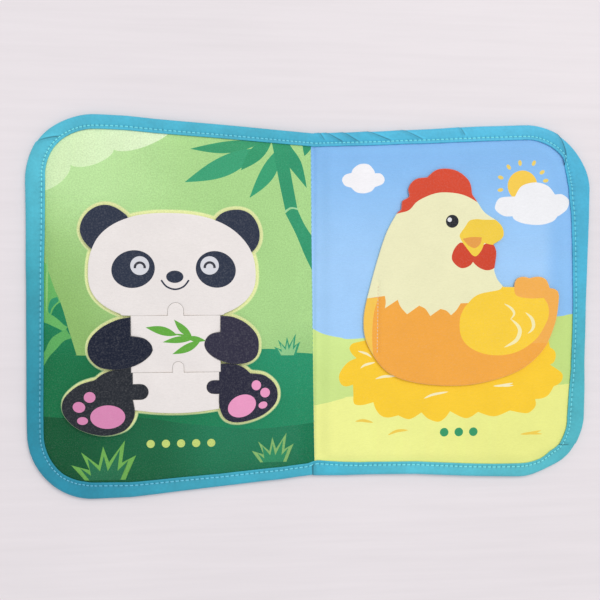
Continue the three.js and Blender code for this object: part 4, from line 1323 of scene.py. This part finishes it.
def plain_dye(hex_colour):
    """A dye that is the same everywhere."""
    return lambda x, y: linear(hex_colour)[:3]


def arched(ends, sides, middle):
    """Heights of a stitch's five points: it dives at both ends."""
    return np.array([ends, sides, middle, sides, ends])


print("a stitch's heights:", arched(-0.22, 0.08, 0.12), "mm")

# %% [markdown]
# ## Stitches
# A lockstitch machine sews both faces alike: each stitch is a short length of thread that dives into a
# hole at both ends. One seam runs round the tape on both faces, in the valley that it makes. Another one
# runs down the fold in thinner thread.

# %% Stitches of the tape and the fold
def tape_thread_dye_and_shade(x, y):
    """The tape's blue with its painted light and shade, only paler."""
    return np.minimum(1.5 * tape_dye_and_shade(x, y) + 0.15, 0.95)


def tape_stitches(side):
    """The seam on the tape's upper face (side 1) or on its lower face (side -1)."""
    made = []
    for start, end in zip(holes, holes[1:]):
        along = (start + end) / 2 + (end - start) * np.array([-0.38, -0.22, 0.0, 0.22, 0.38])
        inset = np.full(5, STITCH_INSET)
        face = MIDDLE + side * nose_rise(inset) + face_shift(along, inset, side > 0)[0]
        made.append(np.column_stack([on_edge(along, inset), face + side * arched(-0.22, 0.08, 0.12)]))
    return made


def fold_stitches():
    made = []
    for y in np.arange(-99, 99.5, 3.0):
        ys = y + np.array([-1.15, -0.6, 0.0, 0.6, 1.15])
        xs = np.array([fold_line(v) for v in ys])
        made.append(np.column_stack([xs, ys, page_top(xs, ys) + arched(-0.25, -0.02, 0.03)]))
    return made


binding_stitches = thread_mesh("binding_stitches", tape_stitches(1) + tape_stitches(-1), 0.32,
                               tape_thread_dye_and_shade)
seam_stitches = thread_mesh("fold_stitches", fold_stitches(), 0.12, plain_dye("#6aa89a"))
for seam in (binding_stitches, seam_stitches):
    bends_at_fold(seam)
print("stitches:", 2 * (len(holes) - 1), "in the tape,", len(fold_stitches()), "in the fold")

# %% [markdown]
# ## Print of the puzzle's head
# The felt of the head is white, and its print is a panda's plain face: dark ears, eye patches, closed and
# smiling eyes, a nose and a mouth. The white of the skull is drawn over the dark ears.

# %% Print of the head
PUZZLE = (-88.0, -5.6)  # the neck line's middle, which the puzzle is measured from
HEAD_SHIFT = -1.8
WHITE, BLACK, LEAF = "#eee7e2", "#2c3446", "#64ac3e"


def in_puzzle(points):
    """Points that are measured from the neck line, in the book's millimetres."""
    return [(x + PUZZLE[0], y + PUZZLE[1]) for x, y in points]


def skull():
    """The head's rounded outline without its ears."""
    ring = []
    for k in range(96):
        c, s = math.cos(2 * math.pi * k / 96), math.sin(2 * math.pi * k / 96)
        rounded = [math.copysign(abs(v) ** (2 / 2.37), v) for v in (c, s)]
        ring.append((HEAD_SHIFT + 52.3 * rounded[0], 25.9 + (38.7 if s > 0 else 60) * rounded[1]))
    return leaned(in_puzzle(ring))


def smiling_eye(x, y, radius):
    """A closed, smiling eye: a pale disc with a dark arch on it."""
    turns = np.linspace(-0.15, math.pi + 0.15, 9)
    arch = [(x + 3.1 * math.cos(a), y - 1.2 + 3.1 * math.sin(a)) for a in turns]
    return [(ellipse(x, y, radius, radius), "#dcdce0"), (stroke(arch, 1.55, taper=False), "#34353f")]


head_print = [
    (ellipse(-130.7, 48.2, 17, 17), BLACK),
    (ellipse(-50.1, 46.7, 17, 17), BLACK),
    (skull(), WHITE),
    (ellipse(-114.2, 23.9, 13.6, 11.8, 12), BLACK),
    (ellipse(-62.6, 23.7, 12.7, 11.5, -18), BLACK),
    *smiling_eye(-110.1, 26.1, 5.9),
    *smiling_eye(-66.5, 26.2, 5.8),
    (ellipse(-88.3, 19.1, 5.4, 3.9), BLACK),
    (stroke([(-96.8, 17.0), (-93.4, 12.9), (-88.1, 11.2), (-82.9, 12.9), (-79.5, 17.0)], 1.1, taper=False),
     BLACK),
]
print("shapes on the head:", len(head_print))

# %% [markdown]
# ## Prints of the body and the limbs
# The torso holds a sprig of bamboo, the arms are dark and the soles have pink pads. The four dark felts
# are given a little different tones, and the right arm's lighter, purplish tone is a painted sheen.

# %% Prints of the body and the limbs
torso_print = [(leaf(*(in_puzzle([a, b])), width, sag), LEAF) for a, b, width, sag in (
    ((0.8, -12.2), (-18.9, -7.2), 5.4, -0.5), ((10.0, -13.0), (-0.9, -2.4), 4.6, 0.6),
    ((11.5, -14.4), (-8.3, -16.6), 4.2, -0.4), ((15.5, -15.8), (-2.2, -24.2), 5.0, 0.6))]
torso_print += [(stroke(in_puzzle([(-2, -11.4), (6, -12.6), (18.4, -15.9)]), 1.5), LEAF),
                (leaf(*in_puzzle([(6.5, -13.6), (19, -16)]), 3.6), LEAF)]
# The right arm's lighter, purplish ink is painted sheen.
LIMB_INKS_AND_SHEEN = {"left_arm": "#161d30", "right_arm": "#302e41", "left_leg": "#24282f", "right_leg": "#262639"}
PAD_INKS = {"left_leg": "#db89b3", "right_leg": "#ee9bc3"}
left_pads = [(-130.8, -69.3, 10.8, 7.5, 0), (-141.8, -56.6, 3.6, 3.4, 0), (-148.5, -62.8, 3.9, 3.4, -8),
             (-146.4, -71.5, 3.4, 2.5, 0)]
right_pads = [(-46.4, -63.5, 9.3, 6.9, 25), (-37.2, -50.3, 3.0, 3.2, 0), (-31.6, -55.1, 3.1, 3.1, 0),
              (-33.0, -63.1, 2.9, 2.2, 20)]
piece_prints = {"head": (WHITE, head_print), "torso": (WHITE, torso_print), "belly": (WHITE, [])}
for limb, pads in (("left_arm", []), ("right_arm", []), ("left_leg", left_pads), ("right_leg", right_pads)):
    piece_prints[limb] = (LIMB_INKS_AND_SHEEN[limb], [(ellipse(*pad), PAD_INKS[limb]) for pad in pads])
print("shapes on the pieces:", {name: len(shapes) for name, (_, shapes) in piece_prints.items()})

# %% [markdown]
# ## The puzzle's felts
# Each piece is die-cut from printed felt 1.6 mm thick and is held over its dot by hooks and loops. Felt
# is soft, so away from the dot it hangs down towards the page. Each piece rides on its own body, so that
# it comes off alone.

# %% Puzzle pieces over their dots
PIECE_TOP, PIECE_THICKNESS = 7.5, 1.6


def middle_of(node_name):
    """The middle of a solid, seen from above, in millimetres."""
    low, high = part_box(node_name)
    return ((low + high) / 2 / MM)[:2]


def make_puzzle_piece(name):
    dot_x, dot_y = middle_of(name + "_hook_dot")
    seed = 3.0 * PIECES.index(name)

    def top(x, y):
        away = np.hypot(x - dot_x, y - dot_y)
        hang = 1.2 * ease(away, 8, 20)
        return PIECE_TOP - hang - 0.09 + 0.09 * ripple(x, y, 11, seed)

    base, print_on_it = piece_prints[name]
    ring = moved_out(counter_clockwise(outlines[name]), 0.1)
    piece = felt_piece("puzzle_felt_" + name, ring, base, print_on_it, top,
                       lambda x, y: top(x, y) - PIECE_THICKNESS, piece_felt, spacing=1.9, edge=0.15,
                       wall=0.25 if base == WHITE else 0.12)
    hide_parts("puzzle_" + name)
    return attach(piece, name + "_piece")


puzzle_felts = [make_puzzle_piece(name) for name in PIECES]
print("puzzle:", [len(p.data.polygons) for p in puzzle_felts])

# %% [markdown]
# ## Hook-and-loop dots
# The dots are hook-and-loop discs of 15 mm: stiff nylon hooks on the puzzle piece, brushed loops on the
# page. They show when a piece is lifted. Hooks are under half a millimetre high, and a regular bump at
# one millimetre stands for their rows.

# %% Hook-and-loop dots
def dot_material(name, hex_colour, pitch_mm, depth_mm, roughness):
    """Hook or loop tape: rows of small knobs."""
    material, tree, output = blank_material(name)
    where = node(tree, "ShaderNodeTexCoord").outputs["Object"]
    knobs = node(tree, "ShaderNodeTexVoronoi", {
        "Vector": where, "Scale": 1 / (pitch_mm * MM), "Randomness": 0.35})
    tone = node(tree, "ShaderNodeMapRange", {
        "Value": knobs.outputs["Distance"], "From Max": 0.7, "To Min": 1.0, "To Max": 0.8})
    colour = node(tree, "ShaderNodeVectorMath", {
        0: linear(hex_colour)[:3], "Scale": tone}, operation="SCALE")
    bump = node(tree, "ShaderNodeBump", {
        "Strength": 0.8, "Distance": depth_mm * MM, "Height": knobs.outputs["Distance"]}, invert=True)
    shader = node(tree, "ShaderNodeBsdfPrincipled", {
        "Base Color": colour, "Roughness": roughness, "IOR": 1.53, "Sheen Weight": 0.1, "Normal": bump})
    tree.links.new(shader.outputs[0], output.inputs[0])
    return material


hook_tape = dot_material("nylon hook tape, moulded", "#d9d9d4", 1.0, 0.3, 0.45)
loop_tape = dot_material("nylon loop tape, brushed", "#ebeae6", 0.7, 0.2, 0.85)


def make_dot(cad_node, body, material):
    """A disc in the place of a dot's solid, on the body that it belongs to."""
    low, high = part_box(cad_node)
    x, y = middle_of(cad_node)
    bottom, top = low.z / MM, high.z / MM
    radius = (high.x - low.x) / 2 / MM
    dot = felt_piece(cad_node + "_disc", ellipse(x, y, radius, radius, steps=64), "#dddddd", [],
                     lambda u, v: np.full(len(u), top), lambda u, v: np.full(len(u), bottom), material,
                     spacing=2.0, edge=0.15)
    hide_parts(cad_node)
    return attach(dot, body)


hook_discs = [make_dot(n + "_hook_dot", n + "_piece", hook_tape) for n in PIECES]
loop_discs = [make_dot(n + "_loop_dot", "left_page", loop_tape) for n in PIECES]
print("dots:", len(hook_discs), "with hooks and", len(loop_discs), "with loops")

# %% [markdown]
# ## The hen's outline and print
# The solids cut the hen at its sewn line, and here both are one outline again. Its print is plain: a pale
# neck and back over an orange belly, a red comb and wattles, a yellow beak, a wing with three strokes on
# it, and an eye.

# %% Outline and print of the hen
HEN_LINE, HEN_TOP, HEN_THICKNESS = 41.8, 6.05, 1.5
ORANGE, CREAM, COMB, WING = "#f6aa42", "#f0edc0", "#d94c31", "#fcd13b"
WATTLE, TAIL = "#d2452b", "#f6b150"


def away_from_line(ring):
    """The ring without its points on the sewn line, starting behind that line."""
    on_line = [abs(x - HEN_LINE) < 0.3 for x, _ in ring]
    start = next(k for k in range(len(ring)) if on_line[k - 1] and not on_line[k])
    turned = ring[start:] + ring[:start]
    return [p for p in turned if abs(p[0] - HEN_LINE) >= 0.3]


COMB_PULLS = [(59.5, 71.2, 1.5, -0.4, 1.8), (57.2, 67.8, -1.3, 0.3, 1.8), (55.3, 62.5, 1.2, -0.2, 2.0)]
hen_ring = smoothed(away_from_line(top_outline("hen_flap")) + away_from_line(top_outline("hen_sewn_edge")))
hen_ring = pulled(hen_ring, COMB_PULLS)
hen_print = [
    (drawn([(25, 5), (34.2, 5), (41.8, 5.2)], [(39.0, -4), (37.9, -16), (38.2, -28), (39.6, -38)],
     [(25, -38)]), "#f9c851"),
    (drawn([(20, 3), (34.2, 4.9), (46, 6.5)], [(46.6, 2.6), (46.1, -1.5)], [(54.5, 4)], [(56.4, -0.6),
     (60.7, -5.5)], [(68.6, 0.1)], [(72.8, -2.1), (76, -6.7)], [(82.7, -2.1)], [(86.7, -3.3), (89.8, -6.3)],
     [(93.4, -2.9), (96.2, 1.5)], [(102, 1.7)], [(131.9, 2)], [(131.9, 40)], [(150, 60)], [(150, 110)],
     [(20, 110)]), CREAM),
    ([(131.9, 2), (131.9, 40), (150, 60), (190, 60), (190, -25), (143, -25), (143, -8)], TAIL),
    (drawn([(38, 54), (53.5, 59.4), (61.4, 61.8), (67.4, 67.8), (78.3, 72.6), (88, 73.3), (97.9, 71.6),
     (107.1, 66.9), (118, 59.5)], [(130, 110)], [(38, 110)]), COMB),
    (bend([(95.9, 41.1), (91.3, 36.4), (90.2, 29.8), (95.4, 24.7), (100.8, 25.3), (104.2, 29), (104.6, 36),
     (100.6, 38)], closed=True), WATTLE),
    (bend([(103.6, 30), (107.8, 25), (114, 23), (119.4, 25.6), (120.4, 33), (117.6, 40), (112, 40.2),
     (108, 35.6)], closed=True), WATTLE),
    (drawn([(105.4, 56.2), (101.4, 55.2), (98.4, 51), (95.1, 46.2), (95.6, 43.6), (97.4, 40.6),
     (100.8, 36.2), (104, 32.6), (106.6, 32.5), (109.7, 36.2), (111.4, 40.8)], [(118, 39.6), (123, 41.6),
     (127, 47.6), (124, 56)], [(112.4, 55.9), (107, 56.3), (105.4, 56.2)]), "#f5d045"),
    (drawn([(96.9, 43.5), (103, 44.6), (109.8, 44.5)], [(109.4, 41.8), (108.4, 39.6), (105, 37.4),
     (100.7, 39.2)]), "#e8a049"),
    (drawn([(101.2, 1.7), (104.6, 5.2), (109.7, 7.8), (119.6, 9.7)], [(122.2, 10.4), (124.2, 12.6),
     (126, 16)], [(132, 16)], [(132.0, 10), (132.9, 7.2), (135.8, 5.5), (143.3, 4.5), (152.1, 4.8)],
     [(155, 0), (155.6, -6), (154.2, -11.1), (147.5, -22), (136.3, -29.9), (123.9, -32.8), (111.4, -31.5),
     (101.4, -26.5), (96.4, -19.2), (95.7, -9.5), (98.0, -2.6), (101.2, 1.7)]), WING),
    (stroke([(125.4, 1.1), (129.9, -1.7), (132.2, -5.5), (129.7, -9.3)], 1.7), "#f8edb2"),
    (stroke([(130, -9), (134.4, -12.9), (136.2, -17.2), (133.6, -23.2), (125.8, -27.6)], 2.7), "#f8edb2"),
    (stroke([(139.8, -4.7), (143.9, -8.4), (145.4, -13), (144.3, -16.3), (141.6, -18.6)], 2.3), "#f8edb2"),
    (ellipse(90, 54.8, 4.2, 4.2), "#25272d"),
    (ellipse(88.3, 55.8, 1.45, 1.45, steps=24), "#e9e9ea"),
]
print("the hen's outline:", len(hen_ring), "points; its print:", len(hen_print), "shapes")

# %% [markdown]
# ## The hen's felt
# The hen is one piece of felt, sewn to the page along a line near its left edge. The rest of it is free
# and lifts.

# %% The hen's felt
def hen_seam_pull(x, y):
    """1 along the hen's seam, where the thread pulls the felt down, and 0 away from it."""
    return np.exp(-((x - HEN_LINE - 0.1) / 1.0) ** 2) * ease(y, -34, 3) * (1 - ease(y, 15, 3))


def hen_top(x, y):
    return (HEN_TOP - 0.55 * hen_seam_pull(x, y) - 0.7 * unevenness(x, y)
            + 0.08 * ripple(x, y, 17, 33.0))


def hen_bottom(x, y):
    return hen_top(x, y) - HEN_THICKNESS + 0.4 * hen_seam_pull(x, y)


hen = felt_piece("hen_felt", hen_ring, ORANGE, hen_print, hen_top, hen_bottom, piece_felt, spacing=1.9,
                 wall=0.2, extra=[(HEN_LINE + dx, y) for y in np.arange(-35, 20, 1.5)
                                  for dx in (-1.4, -0.9, -0.45, 0, 0.45, 0.9, 1.4)])
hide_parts("hen_flap", "hen_sewn_edge")
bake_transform(hen)
print("hen:", len(hen.data.polygons), "faces")

# %% [markdown]
# ## The hen's stitches
# One short seam beside the fold holds the hen. It stays with the page when the flap lifts.

# %% Stitches of the hen
def hen_seam():
    made = []
    for y in np.arange(-29.5, 14.5, 2.2):
        ys = y + np.array([-0.8, -0.4, 0.0, 0.4, 0.8])
        xs = np.full(5, HEN_LINE - 0.25 + 0.012 * y)
        made.append(np.column_stack([xs, ys, hen_top(xs, ys) + arched(-0.18, 0.05, 0.1)]))
    return made


hen_stitches = thread_mesh("hen_stitches", hen_seam(), 0.24, plain_dye("#efdcbe"))
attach(hen_stitches, "right_page")
print("the hen's stitches:", len(hen_seam()))


# %% [markdown]
# ## Table
# The book lies on a pale painted board. Brushed gloss paint dries in faint long marks, which a stretched
# noise draws in its tone and in a fine bump. The board is a stage, so it isn't part of the model.

# %% Painted board
def painted_board():
    material, tree, output = blank_material("white gloss paint, brushed on board")
    where = node(tree, "ShaderNodeTexCoord").outputs["Object"]
    drag = node(tree, "ShaderNodeMapping", {
        "Vector": where, "Scale": (3.0, 60.0, 1.0), "Rotation": (0.0, 0.0, 0.25)})
    marks = node(tree, "ShaderNodeTexNoise", {"Vector": drag, "Scale": 3.0, "Detail": 6.0, "Roughness": 0.6})
    clouds = node(tree, "ShaderNodeTexNoise", {"Vector": where, "Scale": 5.0, "Detail": 3.0})
    both = node(tree, "ShaderNodeMath", {0: marks.outputs["Fac"], 1: clouds.outputs["Fac"]}, operation="ADD")
    tone = node(tree, "ShaderNodeMapRange", {
        "Value": both, "From Min": 0.7, "From Max": 1.3, "To Min": 0.96, "To Max": 1.03})
    colour = node(tree, "ShaderNodeVectorMath", {0: linear("#eae3e4")[:3], "Scale": tone}, operation="SCALE")
    bump = node(tree, "ShaderNodeBump", {
        "Strength": 0.25, "Distance": 0.2 * MM, "Height": marks.outputs["Fac"]})
    shader = node(tree, "ShaderNodeBsdfPrincipled", {
        "Base Color": colour, "Roughness": 0.5, "IOR": 1.5, "Specular IOR Level": 0.3, "Normal": bump})
    tree.links.new(shader.outputs[0], output.inputs[0])
    return material


bpy.ops.mesh.primitive_plane_add(size=4, location=(0, 0, -0.00005))
board = bpy.context.object
board.name = "board"
board.data.materials.append(painted_board())
print("board:", board.data.materials[0].name)

# %% [markdown]
# ## Light
# The light is a broad window from the upper right and pale walls all round, kept at a level where a
# colour comes out as it is written. So the view transform is the standard one, which changes no colour.

# %% Window and pale walls
world = bpy.data.worlds.new("pale room")
world.use_nodes = True
world.node_tree.nodes["Background"].inputs["Color"].default_value = linear("#f3f5fb")
world.node_tree.nodes["Background"].inputs["Strength"].default_value = 0.8
bpy.context.scene.world = world

window_data = bpy.data.lights.new("window", "AREA")
window_data.size, window_data.energy, window_data.color = 2.1, 72.0, linear("#fffaf4")[:3]
window = bpy.data.objects.new("window", window_data)
window.location = (1.5, 2.25, 3.6)
window.rotation_euler = (-window.location).to_track_quat("-Z", "Y").to_euler()
bpy.context.scene.collection.objects.link(window)
bpy.context.scene.view_settings.view_transform = "Standard"
